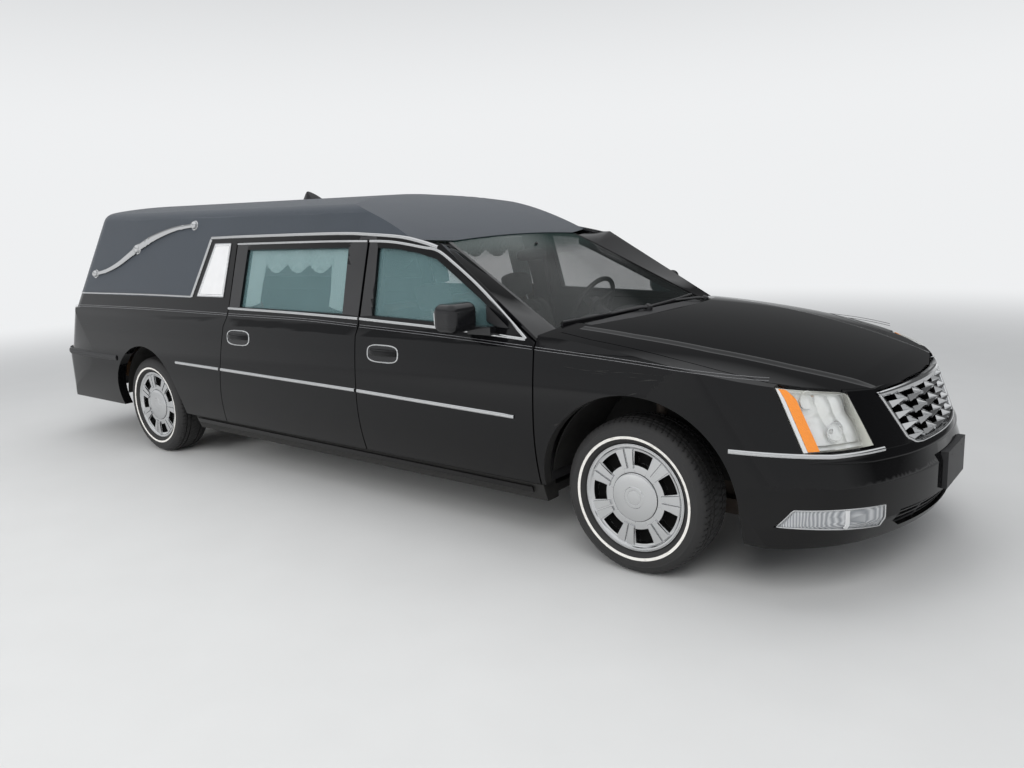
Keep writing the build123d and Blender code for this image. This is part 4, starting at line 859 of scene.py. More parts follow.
def cad_skin(node, materials, pick=None):
    """A merged copy of a CAD panel. Its corners take the exact direction of whichever body surface they lie
    on, and the rest are smoothed; pick gives each face's finish from its middle, its direction and whether it
    lies on an outer surface."""
    source = NODES[node].data
    source.calc_loop_triangles()
    corners = np.zeros(len(source.loop_triangles) * 3, np.int32)
    source.loop_triangles.foreach_get("vertices", corners)
    points, faces = merged((points_of(source), corners.reshape(-1, 3).tolist()), 2e-6)
    faces = np.array(faces)
    for surface, longest in ((near_nose, 0.03), (near_tail, 0.04), (near_slope, 0.04), (near_side, 0.08),
                             (near_upper, 0.08)):
        points, faces = finer(points, faces, surface, longest)
    mesh = bpy.data.meshes.new(node + "_skin")
    mesh.from_pydata(points, [], faces.tolist())
    for material in materials:
        mesh.materials.append(material)
    mesh.polygons.foreach_set("use_smooth", np.full(len(faces), True))
    mesh.set_sharp_from_angle(angle=SMOOTH_BELOW)
    directions = np.zeros(len(mesh.loops) * 3, np.float32)
    mesh.corner_normals.foreach_get("vector", directions)
    directions = directions.reshape(-1, 3, 3)
    corner = points[faces]
    flat = np.cross(corner[:, 1] - corner[:, 0], corner[:, 2] - corner[:, 0])
    flat /= np.maximum(np.linalg.norm(flat, axis=1, keepdims=True), 1e-12)
    outer = np.zeros(len(faces), bool)
    for surface in SURFACES:
        distance, out = surface(points)
        on = np.all(np.abs(distance[faces]) < ON_SURFACE, axis=1)
        turn = np.einsum("ijk,ik->ij", out[faces], flat).min(axis=1)
        take = on & (turn > cos(radians(14.0))) & ~outer
        directions[take] = out[faces[take]]
        outer |= take
    if pick is not None:
        mesh.polygons.foreach_set("material_index", pick(corner.mean(1), flat, outer).astype(np.int32))
    mesh.normals_split_custom_set(directions.reshape(-1, 3).tolist())
    piece = linked(mesh.name, mesh)
    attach(piece, NODES[node]["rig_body"])
    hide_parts(node)


def dress_nodes():
    """Every CAD node gets the full material of its record slot."""
    slots = {entry["node"]: entry["material_slot"] for entry in frame["record"]["subparts"]}
    for name, node in NODES.items():
        finish = NODE_FINISH.get(name) or SLOT_FINISH[slots.get(name, "black_plastic")]
        node.data.materials.clear()
        node.data.materials.append(finish)
        node.data.polygons.foreach_set("material_index", np.zeros(len(node.data.polygons), np.int32))


def away_from_middle(middle, flat):
    """How far each face points away from the car's middle line, from -1 to 1."""
    return flat[:, 1] * np.sign(middle[:, 1])


def inside_trim(middle, flat, outer):
    """1 for the faces that look inwards, 0 for the rest."""
    return ((away_from_middle(middle, flat) < -0.5) & ~outer).astype(int)


def door_pick(middle, flat, outer):
    """Paint outside, satin covers beside the windows, trim inside."""
    x, z = middle[:, 0], middle[:, 2]
    beside = (z > 1.058) & (((x > 0.335) & (x < 0.56)) | (x < -0.60))
    cover = beside & (away_from_middle(middle, flat) > 0.3)
    return np.where(inside_trim(middle, flat, outer) == 1, 1, np.where(cover, 2, 0))


def roof_inside(middle, flat, outer):
    """1 on the headliner side of the roof shell."""
    far = np.min([np.abs(near(middle)[0]) for near in (near_roof, near_upper, near_slope)], axis=0)
    return ((far > 0.020) & (flat[:, 2] < 0.3)).astype(int)


def body_panels():
    """Painted panels, vinyl roof and lamps as smooth copies of their CAD nodes."""
    cad_skin("front_fenders", [PAINT, UNDER],
             lambda m, f, o: np.where(o | (f[:, 2] > 0.5), 0, 1))
    cad_skin("front_bumper", [PAINT])
    cad_skin("rear_bumper", [PAINT])
    cad_skin("quarter_panels", [PAINT, PLASTIC], inside_trim)
    cad_skin("loading_door", [PAINT, PLASTIC],
             lambda m, f, o: ((f[:, 0] > 0.5) & ~o).astype(int))
    cad_skin("roof_cap", [VINYL, HEADLINER], roof_inside)
    cad_skin("side_frames", [PAINT, PILLAR],
             lambda m, f, o: (np.abs(m[:, 0] - 0.476) < 0.05).astype(int))
    cad_skin("tail_lamps", [RED])
    for side, _ in SIDES:
        for door in ("front_door", "rear_door"):
            cad_skin(f"{door}_{side}", [PAINT, PLASTIC, PILLAR], door_pick)


# Bonnet
BONNET_FRONT = [(0.0, 3.018), (0.231, 3.002), (0.462, 2.952), (0.596, 2.882), (0.716, 2.775), (0.790, 2.662),
                (0.823, 2.480), (0.833, 2.300)]
CREASE = [(1.60, 0.705), (2.02, 0.690), (2.36, 0.640), (2.66, 0.560), (2.86, 0.485), (3.05, 0.430)]


def bonnet_plain(x, y):
    """Height of the smooth bonnet surface without its creases: part of a ring about a cross-car axis."""
    drop = BONNET_CROWN_R - np.sqrt(BONNET_CROWN_R ** 2 - y ** 2)
    return BONNET_AXIS[1] + np.sqrt((BONNET_R - drop) ** 2 - (x - BONNET_AXIS[0]) ** 2)


def bonnet_height(x, y):
    """Height of the bonnet, with its middle raised between two creases."""
    line = np.interp(x, *np.transpose(CREASE))
    t = np.clip((line + 0.012 - np.abs(y)) / 0.034, 0, 1)
    raised = 0.0085 * t * t * (3 - 2 * t)
    fade = np.clip((3.005 - x) / 0.12, 0.25, 1.0)
    return bonnet_plain(x, y) + raised * fade


def make_bonnet():
    """Bonnet: stations run from the bowed rear edge to the plan of its front edge at each distance across."""
    share = np.linspace(-1, 1, 241)
    y = 0.833 * np.sign(share) * (1 - (1 - np.abs(share)) ** 1.5)
    rear = np.interp(np.abs(y), [0.0, 0.2, 0.4, 0.6, 0.8, 0.833], [1.890, 1.8795, 1.848, 1.795, 1.722, 1.900])
    front = np.interp(np.abs(y), *np.transpose(BONNET_FRONT))
    u = np.linspace(0, 1, 150)[:, None]
    x = rear + u * (front - rear)
    across = np.broadcast_to(y, x.shape)
    skin = np.stack([x, across, bonnet_height(x, across)], -1)
    inward = np.broadcast_to(np.array([0.0, 0.0, -1.0]), skin.shape)
    piece = solid_sheet("bonnet_panel", skin, 0.018, PAINT, "bonnet", "black_paint", inward)
    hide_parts("bonnet")


# Grille
GRILLE_PITCH_Y = 0.158
GRILLE_PITCH_Z = 0.0475
GRILLE_BASE_Z = 0.583
GRILLE_TOOTH = 0.031
GRILLE_BAR = 0.0164
GRILLE_SLOT = 0.0205
GRILLE_BACK = -0.022
GRILLE_ROWS = GRILLE_BASE_Z + 0.0264 + GRILLE_PITCH_Z * np.arange(4)
GRILLE_HALF = [(0.560, 0.280), (0.574, 0.288), (0.583, 0.336), (0.606, 0.374), (0.794, 0.458), (0.86, 0.470)]


def grille_point(column, height, out):
    """Point of the grille from its column distance, narrowed with the slanted sides, its height and depth."""
    narrowing = np.interp(height, [0.606, 0.794], [0.374 / 0.458, 1.0])
    across = column * narrowing
    return nose_point(across, height) + np.asarray(out)[..., None] * nose_out(across, height)


def grille_bars():
    """A pyramid of nine points where each pair of bars crosses, with its tip at the lower edge of the dark
    slots beside it, and flat strips that close the bars at the frame."""
    half, bar = 0.5 * GRILLE_PITCH_Y, GRILLE_BAR
    c, b = np.meshgrid(GRILLE_PITCH_Y * np.arange(-2, 3), GRILLE_ROWS)
    top, low = b + GRILLE_SLOT, b - 0.0270
    flat = np.full(c.shape, GRILLE_BACK)
    corners = [(c, b - 0.003, flat + GRILLE_TOOTH), (c - half, b, flat), (c + half, b, flat),
               (c - half, low, flat), (c + half, low, flat), (c - bar, b, flat), (c + bar, b, flat),
               (c - bar, top, flat), (c + bar, top, flat)]
    studs = np.stack([grille_point(*corner) for corner in corners], 2).reshape(-1, 9, 3)
    facets = np.array([(0, 3, 4), (0, 1, 3), (0, 5, 1), (0, 7, 5),
                       (0, 8, 7), (0, 6, 8), (0, 2, 6), (0, 4, 2)])
    faces = (9 * np.arange(len(studs))[:, None, None] + facets).reshape(-1, 3).tolist()
    shapes = [(studs.reshape(-1, 3), faces)]
    b, low, back = b[:, 0], low[:, 0], flat[:, 0]
    for sign in (-1, 1):
        c0, c1 = np.full(4, sign * 2.5 * GRILLE_PITCH_Y), np.full(4, sign * 0.462)
        ends = ((c0, b, back), (c1, b, back + 0.004), (c1, low, back + 0.004), (c0, low, back))
        strip = np.stack([grille_point(*end) for end in ends], 1)
        shapes.append((strip.reshape(-1, 3), (4 * np.arange(4)[:, None] + np.arange(4)[None, :]).tolist()))
    return shapes


def grille_hollows():
    """Boxes, open in front, behind the slots, finished in near-black painted shade."""
    middle, low = np.meshgrid(GRILLE_PITCH_Y * (np.arange(6) - 2.5), GRILLE_ROWS)
    half, high = 0.5 * GRILLE_PITCH_Y, low + GRILLE_SLOT
    left = np.maximum(middle - half + GRILLE_BAR, -0.456)
    right = np.minimum(middle + half - GRILLE_BAR, 0.456)
    ring = [grille_point(x, z, np.full(middle.shape, depth)) for depth in (GRILLE_BACK, -0.060)
            for x, z in ((left, low), (right, low), (right, high), (left, high))]
    walls = np.array([(0, 1, 5, 4), (1, 2, 6, 5), (2, 3, 7, 6), (3, 0, 4, 7), (4, 5, 6, 7)])
    hollow = (8 * np.arange(24)[:, None, None] + walls).reshape(-1, 4).tolist()
    return np.stack(ring, 2).reshape(-1, 3), hollow


def grille_plate():
    """Bright plate that closes the grille's top and bows with the nose."""
    across = np.linspace(-0.466, 0.466, 90)[None, :]
    foot = 0.7724
    rise = (np.interp(np.abs(across), [0, 0.2, 0.456], [0.8075, 0.8055, 0.7955]) - foot) / 0.0341
    rows = np.array([foot, foot, 0.7750, 0.7830, 0.7920, 0.8000, 0.8055, 0.8065])[:, None]
    out = np.array([-0.050, -0.022, -0.002, 0.0045, 0.007, 0.0055, 0.001, -0.020])[:, None]
    level = foot + (rows - foot) * rise
    plate = grille_point(np.broadcast_to(across, level.shape), level, np.broadcast_to(out, level.shape))
    return plate.reshape(-1, 3), grid_faces(8, 90)


def make_grille():
    """Egg-crate grille: bright bars and plate over hollows in painted shade, with a thin frame at its sides
    and foot.
    """
    metal, ways = joined(*grille_bars(), grille_plate())
    facing = np.array([np.cross(metal[f[1]] - metal[f[0]], metal[f[2]] - metal[f[0]])[0] < 0 for f in ways])
    ways = [f[::-1] if turned else f for f, turned in zip(ways, facing)]
    points, faces = joined((metal, ways), grille_hollows())
    # The hollows' faces take the near-black painted shade
    dark = np.arange(len(faces)) >= len(ways)
    piece = new_piece("grille_crate", points, faces, [CHROME, PAINTED_SHADE], "body", "chrome", smooth=False,
                      face_slots=dark.astype(int))
    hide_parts("grille")
    side_z = np.linspace(0.62, 0.794, 20)
    frame_z = np.concatenate([np.full(30, 0.5765), np.linspace(0.583, 0.606, 6), side_z])
    frame_y = np.concatenate([np.linspace(0.0, 0.288, 30), np.linspace(0.330, 0.372, 6),
                              np.interp(side_z, *np.transpose(GRILLE_HALF))]) - 0.004
    path = smooth_path(nose_point(frame_y, frame_z), 90)
    edge = outwards(carried(path, nose_out(frame_y, frame_z)[20], half_round(0.013, 0.006, 0.026)))
    new_piece("grille_frame", *joined(edge, other_side(edge)), CHROME, "body", "chrome")


# Mouldings
def side_run(points, count, out=0.0):
    """Path on the left side from side-view points (x, z), with the side's direction at each point."""
    xz = smooth_path(points, count)
    return side_point(xz[:, 0], xz[:, 1], out), side_normal(xz[:, 1])


def moulding(name, points, profile, material, bodies, slot, count=60, out=0.0):
    """A profile along a side-view line, on both sides."""
    path, direction = side_run(points, count, out)
    pair(name, carried(path, direction, profile), material, bodies, slot)


def both(body):
    """The two bodies whose names end in left and right."""
    return [f"{body}_{side}" for side, _ in SIDES]


FRONT_DOORS, REAR_DOORS = both("front_door"), both("rear_door")


def make_mouldings():
    """Bright belt, window surrounds, side strips, drip and roof rails, and the vinyl's lower edge."""
    bright, narrow = half_round(0.016, 0.006), half_round(0.014, 0.006)
    strip, rail = half_round(0.020, 0.007), half_round(0.020, 0.010)
    for name, points, profile, bodies, *more in (
            ("belt_front", [(1.598, 0.990), (1.2, 1.0115), (0.484, 1.038)], bright, FRONT_DOORS),
            ("belt_rear", [(0.468, 1.0385), (-0.1, 1.050), (-0.735, 1.057)], bright, REAR_DOORS),
            ("surround_front", [(1.600, 0.991), (1.478, 1.080), (1.289, 1.212), (1.10, 1.325), (0.985, 1.383),
                                (0.88, 1.400), (0.713, 1.424), (0.60, 1.434), (0.484, 1.438)],
             bright, FRONT_DOORS, 110),
            ("surround_rear", [(0.468, 1.438), (0.155, 1.4425), (-0.3, 1.4435), (-0.722, 1.4435)], narrow,
             REAR_DOORS),
            ("strip_front", [(1.548, 0.640), (0.486, 0.662)], strip, FRONT_DOORS),
            ("strip_rear", [(0.466, 0.6625), (-0.792, 0.679)], strip, REAR_DOORS),
            ("strip_quarter", [(-0.815, 0.6795), (-1.322, 0.686)], strip, BODY),
            ("drip_rail", [(-1.168, 1.118), (-1.093, 1.300), (-1.022, 1.478)], rail, BODY, 40, 0.001),
            ("roof_rail", [(-1.020, 1.486), (-0.6, 1.487), (0.2, 1.483), (0.50, 1.470), (0.720, 1.453),
                           (0.88, 1.424), (0.99, 1.397)], rail, BODY, 110, 0.001)):
        moulding(name, points, profile, CHROME, bodies, "chrome", *more)
    path, direction = side_run([(-1.168, 1.118), (-1.8, 1.121), (-2.66, 1.117)], 60)
    corner = np.linspace(np.pi / 2, asin(0.602 / TAIL_CROWN_R), 40)
    bend = upper_tail(corner, np.linspace(1.117, 1.116, 40))
    sideways = np.stack([-np.cos(corner), np.sin(corner), 0.35 * np.ones(40)], -1)
    run = carried(np.concatenate([path[:-1], bend]), np.concatenate([direction[:-1], sideways]), narrow)
    pair("vinyl_edge", run, CHROME, BODY, "chrome")


def make_lower_lines():
    """Lip below the doors, and two thin pale lines along the belt, a painted highlight of the shoulder
    crease.
    """
    moulding("rocker", [(1.60, 0.292), (0.5, 0.296), (-1.20, 0.300)], flat_bar(0.030, 0.006), PAINT, BODY,
             "black_paint")
    # Hair-thin pale strips along the shoulder crease: a painted highlight of the crease
    hair = flat_bar(0.0022, 0.0006, 0.001, 0.0002)
    for name, points, bodies in (
            ("fender", [(2.68, 0.892), (2.45, 0.914), (2.1, 0.939), (1.66, 0.9615)], BODY),
            ("door_front", [(1.644, 0.962), (1.08, 0.988), (0.486, 1.0075)], FRONT_DOORS),
            ("door_rear", [(0.466, 1.008), (-0.02, 1.0235), (-0.728, 1.026)], REAR_DOORS),
            ("quarter", [(-0.745, 1.0262), (-1.68, 1.032), (-2.60, 1.028), (-2.84, 1.018)], BODY)):
        for lane, step in (("upper", 0.0), ("lower", -0.011)):
            line = [(x, z + step) for x, z in points]
            moulding(f"coachline_{name}_{lane}", line, hair, PAINTED_CREASE_HIGHLIGHT, bodies, "chrome", 80)


def make_bumper_strips():
    """Bright strip round each front corner of the bumper, and a wide dark one round the rear bumper."""
    y = np.concatenate([np.linspace(0.906, 0.80, 30), np.linspace(0.79, 0.52, 30)])
    z = np.interp(y, [0.52, 0.733, 0.906], [0.590, 0.592, 0.612])
    nose = nose_point(y, z)
    keep = nose[:, 1] < side_half(nose[:, 2]) - 0.001
    nose, ahead = nose[keep], nose_out(y, z)[keep]
    side = side_point(np.linspace(2.56, 2.66, 12), np.linspace(0.6125, 0.6115, 12))
    side = side[side[:, 0] < nose[0, 0] - 0.01]
    out = np.concatenate([side_normal(np.full(len(side), 0.61)), ahead])
    strip = carried(np.concatenate([side, nose]), out, half_round(0.020, 0.007))
    pair("bumper_strip", strip, CHROME, BODY, "chrome")
    height = 0.662
    x, y = end_plan(np.linspace(radians(88.0), 0.08, 60), TAIL_X, HALF_WIDTH, TAIL_RADII, -1.0)
    tail = np.stack([x, y, np.full(60, height)], -1)
    tail = tail[tail[:, 1] < 0.940]
    start = side_point(np.linspace(-2.13, tail[0, 0] + 0.02, 20), np.full(20, height))
    path = np.concatenate([start, tail])
    out = np.gradient(path, axis=0)
    out = np.stack([out[:, 1], -out[:, 0], np.zeros(len(path))], -1)
    pair("rear_bumper_strip", carried(path, out, half_round(0.040, 0.010)), PLASTIC, BODY, "black_plastic")


def make_bumper_shoulder():
    """Soft raised line in the body colour that runs round the front bumper below its bright strip."""
    reach = 0.80
    y = np.linspace(-reach, reach, 320)
    z = np.interp(np.abs(y), [0.0, 0.40, 0.60, reach], [0.548, 0.550, 0.556, 0.572])
    taper = np.sin(np.clip((reach - np.abs(y)) / 0.16, 0, 1) * np.pi / 2) * 0.9 + 0.1
    ridge = np.array([(-0.040, -0.006), (-0.036, 0.0022), (-0.028, 0.0046), (-0.019, 0.0071),
                      (-0.010, 0.0092), (-0.002, 0.0105), (0.002, 0.0095), (0.006, -0.010)])
    shape = carried(nose_point(y, z), nose_out(y, z), ridge, scale=taper)
    new_piece("bumper_shoulder", *outwards(shape), PAINT, "body", "black_paint")


def make_white_panels():
    """Slanted bare panels behind the rear doors, each with a thin raised border."""
    outline = [(-1.098, 1.124), (-0.806, 1.124), (-0.796, 1.447), (-0.968, 1.447)]
    inset = [(-1.078, 1.136), (-0.818, 1.136), (-0.808, 1.435), (-0.961, 1.435)]
    proud = 0.0035
    xz = quad_grid(outline, 20, 14)
    face = side_point(xz[..., 0], xz[..., 1], proud)
    sheet_pair("white_panel", face, 0.005, PANEL, BODY, "chrome", -side_normal(xz[..., 1]))
    rows = []
    for ring, width in ((outline, 0.007), (inset, 0.0025)):
        for a, b in zip(ring, ring[1:] + ring[:1]):
            path, direction = side_run([a, b], 12, proud)
            rows.append(outwards(carried(path, direction, flat_bar(width, 0.0018, 0.001, 0.0006))))
    pair("panel_border", joined(*rows), SATIN, BODY, "chrome")


def make_handles():
    """Oval recess plates with a bright rim and a pull bar across each."""
    a = np.linspace(0, 2 * np.pi, 64, endpoint=False)
    for name, x0, z0, bodies in (("front", 0.690, 0.871, FRONT_DOORS), ("rear", -0.588, 0.887, REAR_DOORS)):
        ring_x = x0 + 0.112 * swollen(np.cos(a), 0.55)
        ring_z = z0 + 0.043 * swollen(np.sin(a), 0.62)
        path = side_point(ring_x, ring_z, 0.001)
        rim = carried(path, side_normal(ring_z), half_round(0.009, 0.005), closed=True)
        pair(f"handle_rim_{name}", rim, CHROME, bodies, "chrome")
        scale = np.array([1.0, 0.82, 0.6, 0.3, 0.02])[:, None]
        lift = np.array([0.0012, 0.0018, 0.002, 0.0022, 0.0022])[:, None, None]
        dish_x, dish_z = x0 + (ring_x - x0) * scale, z0 + (ring_z - z0) * scale
        dish = side_point(dish_x, dish_z) + side_normal(dish_z) * lift
        under = side_point(dish_x[:1], dish_z[:1], -0.002)
        cup = np.concatenate([under, dish])
        faces = grid_faces(len(cup), 64, wrap_columns=True)
        faces += [list(range((len(cup) - 1) * 64, len(cup) * 64))[::-1], list(range(64))]
        pair(f"handle_dish_{name}", (cup.reshape(-1, 3), faces), PIANO, bodies, "gloss_black")
        half, level = 0.098, np.full(40, z0)
        bar_x = np.linspace(x0 - half, x0 + half, 40)
        rise = 0.024 * (1 - ((bar_x - x0) / half) ** 4) + 0.001
        bar = side_point(bar_x, level + 0.006) + rise[:, None] * side_normal(level)
        pull = carried(bar, side_normal(level), round_bar(1.0, 16) * (0.016, 0.0085))
        pair(f"handle_bar_{name}", pull, PAINT, bodies, "black_paint")


def make_landau_bars():
    """S-shaped bars: a flat tapered iron with raised bands, and a ball on a disc at each end and between."""
    line = smooth_path([(-2.500, 1.258), (-2.35, 1.280), (-2.20, 1.322), (-2.06, 1.380), (-1.93, 1.436),
                        (-1.74, 1.500), (-1.49, 1.552), (-1.262, 1.570)], 140)
    path = side_point(line[:, 0], line[:, 1], 0.010)
    share = np.linspace(0, 1, 140)
    wide = 0.62 + 0.55 * np.sin(np.pi * share) ** 2
    places = (0.10, 0.42, 0.455, 0.545, 0.58, 0.90)
    bands = 1 + 0.22 * sum(np.exp(-((share - place) / 0.007) ** 2) for place in places)
    iron = carried(path, side_normal(line[:, 1]), round_bar(1.0, 16) * (0.021, 0.007), scale=wide * bands)
    shapes = [outwards(iron)]
    angles = np.linspace(0, np.pi, 14)
    for x, z, r in ((-2.519, 1.257, 0.026), (-1.240, 1.571, 0.026), (-1.945, 1.430, 0.030)):
        ball = np.stack([r * np.sin(angles) + 1e-5, r * 0.72 * np.cos(angles)], -1)
        disc = [(0.0001, 0.004), (r * 1.25, 0.003), (r * 1.32, -0.001), (r * 1.32, -0.006), (0.0001, -0.006)]
        for profile, out in ((ball, 0.012), (disc, 0.003)):
            shapes.append(turned_solid(profile, side_point(x, z, out), side_normal(np.array(z)), 28))
    peg = [(0.0001, 0.008), (0.011, 0.007), (0.011, -0.010), (0.0001, -0.010)]
    for x, z in ((-2.44, 1.266), (-1.34, 1.566)):
        shapes.append(turned_solid(peg, side_point(x, z, 0.004), side_normal(np.array(z)), 20))
    pair("landau_iron", joined(*shapes), CHROME, BODY, "chrome", replaces="landau_bars")


# Wheels
SPOKES = 7
WHITE_RING = 5


def wheel_rim():
    """Face of the left wheel about its own centre. Rows are circles and columns run along the spokes, at
    angle = offset / radius; seven windows lie between the spokes, and each spoke carries two raised bars."""
    r = np.array([0.1075, 0.1085, 0.114, 0.120, 0.1262, 0.1280, 0.135, 0.1415, 0.1425, 0.150, 0.160, 0.172,
                  0.184, 0.196, 0.2035, 0.2045, 0.209, 0.2125, 0.2145, 0.218])[:, None]
    half_pitch = np.pi / SPOKES
    bar = np.interp(r, [0.126, 0.213], [0.0255, 0.0430])
    spoke = half_pitch - np.radians(np.interp(r, [0.142, 0.204], [13.4, 12.4]))
    lines = [0 * r, 0.0034 / r, 0.0050 / r, (bar * 0.55) / r, (bar - 0.0014) / r, bar / r, spoke,
             spoke + 0.0012 / r]
    lines += [spoke + (half_pitch - spoke) * share for share in (0.3, 0.55, 0.8, 1.0)]
    half = np.hstack(lines)
    column = np.arange(half.shape[1])
    angle = np.hstack([half, 2 * half_pitch - half[:, -2:0:-1]])
    column = np.concatenate([column, column[-2:0:-1]])[None, :]
    out = np.interp(r, [0.1075, 0.1085, 0.114, 0.142, 0.204, 0.2125, 0.218],
                    [0.080, 0.0845, 0.0850, 0.0842, 0.0850, 0.0865, 0.0905])
    bars = (column >= 2) & (column <= 4) & (r > 0.127) & (r < 0.2135)
    window = (column >= 7) & (r > 0.142) & (r < 0.204)
    out = np.where(window, 0.050, np.where(bars, np.maximum(out, 0.0925), out))
    turns = np.concatenate([angle.T + 2 * half_pitch * k for k in range(SPOKES)])
    rows = np.broadcast_to(r.T, turns.shape)
    face = np.stack([rows * np.cos(turns), np.tile(out.T, (SPOKES, 1)), rows * np.sin(turns)], -1)
    quads = grid_faces(*turns.shape, wrap_rows=True)
    # Window floors take the near-black painted shade that stands for the shade behind the wheel cover
    dark = np.tile(window.T, (SPOKES, 1)).reshape(-1)[np.array(quads)].all(1)
    lip = [(0.2180, 0.0905), (0.2215, 0.0955), (0.2265, 0.0975), (0.2300, 0.0970), (0.2312, 0.0955),
           (0.2324, 0.0975), (0.2350, 0.0970), (0.2360, 0.0930), (0.2320, 0.0860), (0.2190, 0.0700),
           (0.2080, 0.0300), (0.2080, -0.0800), (0.2360, -0.0900), (0.2320, -0.0970), (0.2060, -0.0900),
           (0.2000, -0.0600), (0.2000, 0.0200), (0.2060, 0.0460), (0.2120, 0.0600)]
    back = [(0.0700, 0.0460), (0.2050, 0.0460), (0.2030, 0.0400), (0.0700, 0.0400)]
    centre, axle = (0, 0, 0), (0, 1, 0)
    rear = joined(outwards(turned_form(lip, centre, axle, 128)),
                  outwards(turned_form(back, centre, axle, 96)))
    cap = [(0.0001, 0.0975), (0.0220, 0.0972), (0.0300, 0.0962), (0.0308, 0.0953), (0.0322, 0.0953),
           (0.0330, 0.0962), (0.0400, 0.0968), (0.0455, 0.0962), (0.0470, 0.0945), (0.0480, 0.0938),
           (0.1000, 0.0925), (0.1045, 0.0912), (0.1065, 0.0890), (0.1070, 0.0800), (0.0001, 0.0800)]
    return face.reshape(-1, 3), quads, dark, rear, turned_solid(cap, centre, axle, 112)


def tyre_form():
    """Tyre about its own centre: a round-shouldered profile turned about the axle, with four grooves round it
    and short slots across its ribs that repeat 72 times."""
    half = [(0.219, 0.079), (0.236, 0.0865), (0.2405, 0.098), (0.247, 0.1045), (0.2575, 0.1105),
            (0.259, 0.1125), (0.271, 0.1145), (0.2725, 0.1130), (0.285, 0.1145), (0.297, 0.1125),
            (0.299, 0.1135), (0.304, 0.1130), (0.306, 0.1115), (0.315, 0.1070), (0.323, 0.1005),
            (0.329, 0.0940), (0.333, 0.0870), (0.3355, 0.0790)]
    tread = [(0.3365, 0.0715), (0.3365, 0.0700), (0.3300, 0.0695), (0.3300, 0.0620), (0.3375, 0.0615),
             (0.3385, 0.052), (0.3390, 0.0425), (0.3300, 0.0420), (0.3300, 0.0335), (0.3393, 0.0330),
             (0.3400, 0.020), (0.3400, 0.0055), (0.3400, 0.0)]
    right = half + tread
    profile = np.array(right + [(r, -y) for r, y in right[-2::-1]])
    steps = 72 * 6
    angle = np.linspace(0, 2 * np.pi, steps, endpoint=False)
    radius = np.broadcast_to(profile[:, 0], (steps, len(profile))).copy()
    across = np.broadcast_to(profile[:, 1], radius.shape)
    from_middle = np.abs(across)
    beat = np.mod(np.arange(steps)[:, None] + np.where(across > 0, 0, 3) + (from_middle * 60).astype(int), 6)
    on_rib = (radius > 0.3315) & (from_middle < 0.0885)
    radius = radius - 0.0045 * on_rib * (beat == 0) * (from_middle > 0.004)
    shoulder = (from_middle > 0.080) & (radius > 0.3200)
    radius = radius - 0.0025 * shoulder * (beat == 0)
    points = np.stack([radius * np.cos(angle[:, None]), across, radius * np.sin(angle[:, None])], -1)
    quads = grid_faces(steps, len(profile), wrap_rows=True, wrap_columns=True)
    return points.reshape(-1, 3), quads, np.tile(np.arange(len(profile)), steps) == WHITE_RING


def make_wheels():
    """Four bright wheels and their tyres, each moved to its hub; the right ones are mirror images."""
    face, quads, dark, rear, middle = wheel_rim()
    tyre, tyre_quads, white = tyre_form()
    tyre, tyre_quads = outwards((tyre, tyre_quads))
    rim_points, rim_faces = joined((face, quads), rear, middle)
    first = face[quads[0]]
    if np.cross(first[1] - first[0], first[3] - first[0])[1] <= 0:
        rim_faces[:len(quads)] = [f[::-1] for f in rim_faces[:len(quads)]]
    rim_slots = np.concatenate([dark.astype(int), np.zeros(len(rim_faces) - len(quads), int)])
    parts = (("wheel_face", (rim_points, rim_faces), [CHROME, PAINTED_SHADE], "chrome", rim_slots, "rim"),
             ("tread_tyre", (tyre, tyre_quads), [RUBBER, WHITEWALL], "tyre", white.astype(int), "tyre"))
    for axle, x in (("front", FRONT_AXLE_X), ("rear", REAR_AXLE_X)):
        for side, sign in SIDES:
            place, centre = f"{axle}_{side}", np.array([x, sign * WHEEL_Y, TYRE_R])
            for name, shape, finishes, slot, slots, node in parts:
                points, faces = on_side(shape, sign)
                piece = new_piece(f"{name}_{place}", points + centre, faces, finishes, f"wheel_{place}", slot,
                                  face_slots=slots)
                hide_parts(f"{node}_{place}")


# Lamps
def lamp_grid(out, rows=30, columns=60, inner=0.006, rear_share=0.0, front_share=1.0, below=0.002):
    """Headlamp front: rows by height, columns from the slanted rear edge to the inner edge, on the nose."""
    z = np.linspace(0.606 + inner, 0.862 - inner, rows)[:, None]
    front_y = np.interp(z, [0.604, 0.809, 0.862], [0.561, 0.604, 0.728]) + 0.004
    rear_x = np.interp(z, [0.606, 0.862], [2.805, 2.694]) + 0.004
    rear_y = np.interp(-(rear_x - nose_lean(z)), -NOSE_X_OF, NOSE_Y_OF)
    share = rear_share + (front_share - rear_share) * np.linspace(0, 1, columns)[None, :]
    y = rear_y + (front_y - rear_y) * share
    limit = side_half(z) - 0.0015
    point = nose_point(y, np.broadcast_to(z, y.shape), out)
    point[..., 1] = np.minimum(point[..., 1], limit + out)
    ceiling = bonnet_plain(point[..., 0], point[..., 1]) - below
    point[..., 2] = np.minimum(point[..., 2], ceiling)
    return point


def bowl(centre, direction, radius, depth):
    """Reflector: a parabola turned about its axis, thickened, with a small bulb cover in its middle."""
    r = np.linspace(0.001, radius, 16)
    curve = [(a, depth * (a / radius) ** 2) for a in r]
    wall = [(a + 0.002, depth * (a / radius) ** 2 - 0.003) for a in r[::-1]]
    cover = [(0.0001, depth * 0.62), (0.008, depth * 0.60), (0.013, depth * 0.5), (0.014, 0.002),
             (0.0001, 0.002)]
    return joined(turned_solid(curve + wall, centre, direction, 48),
                  turned_solid(cover, centre, direction, 28))


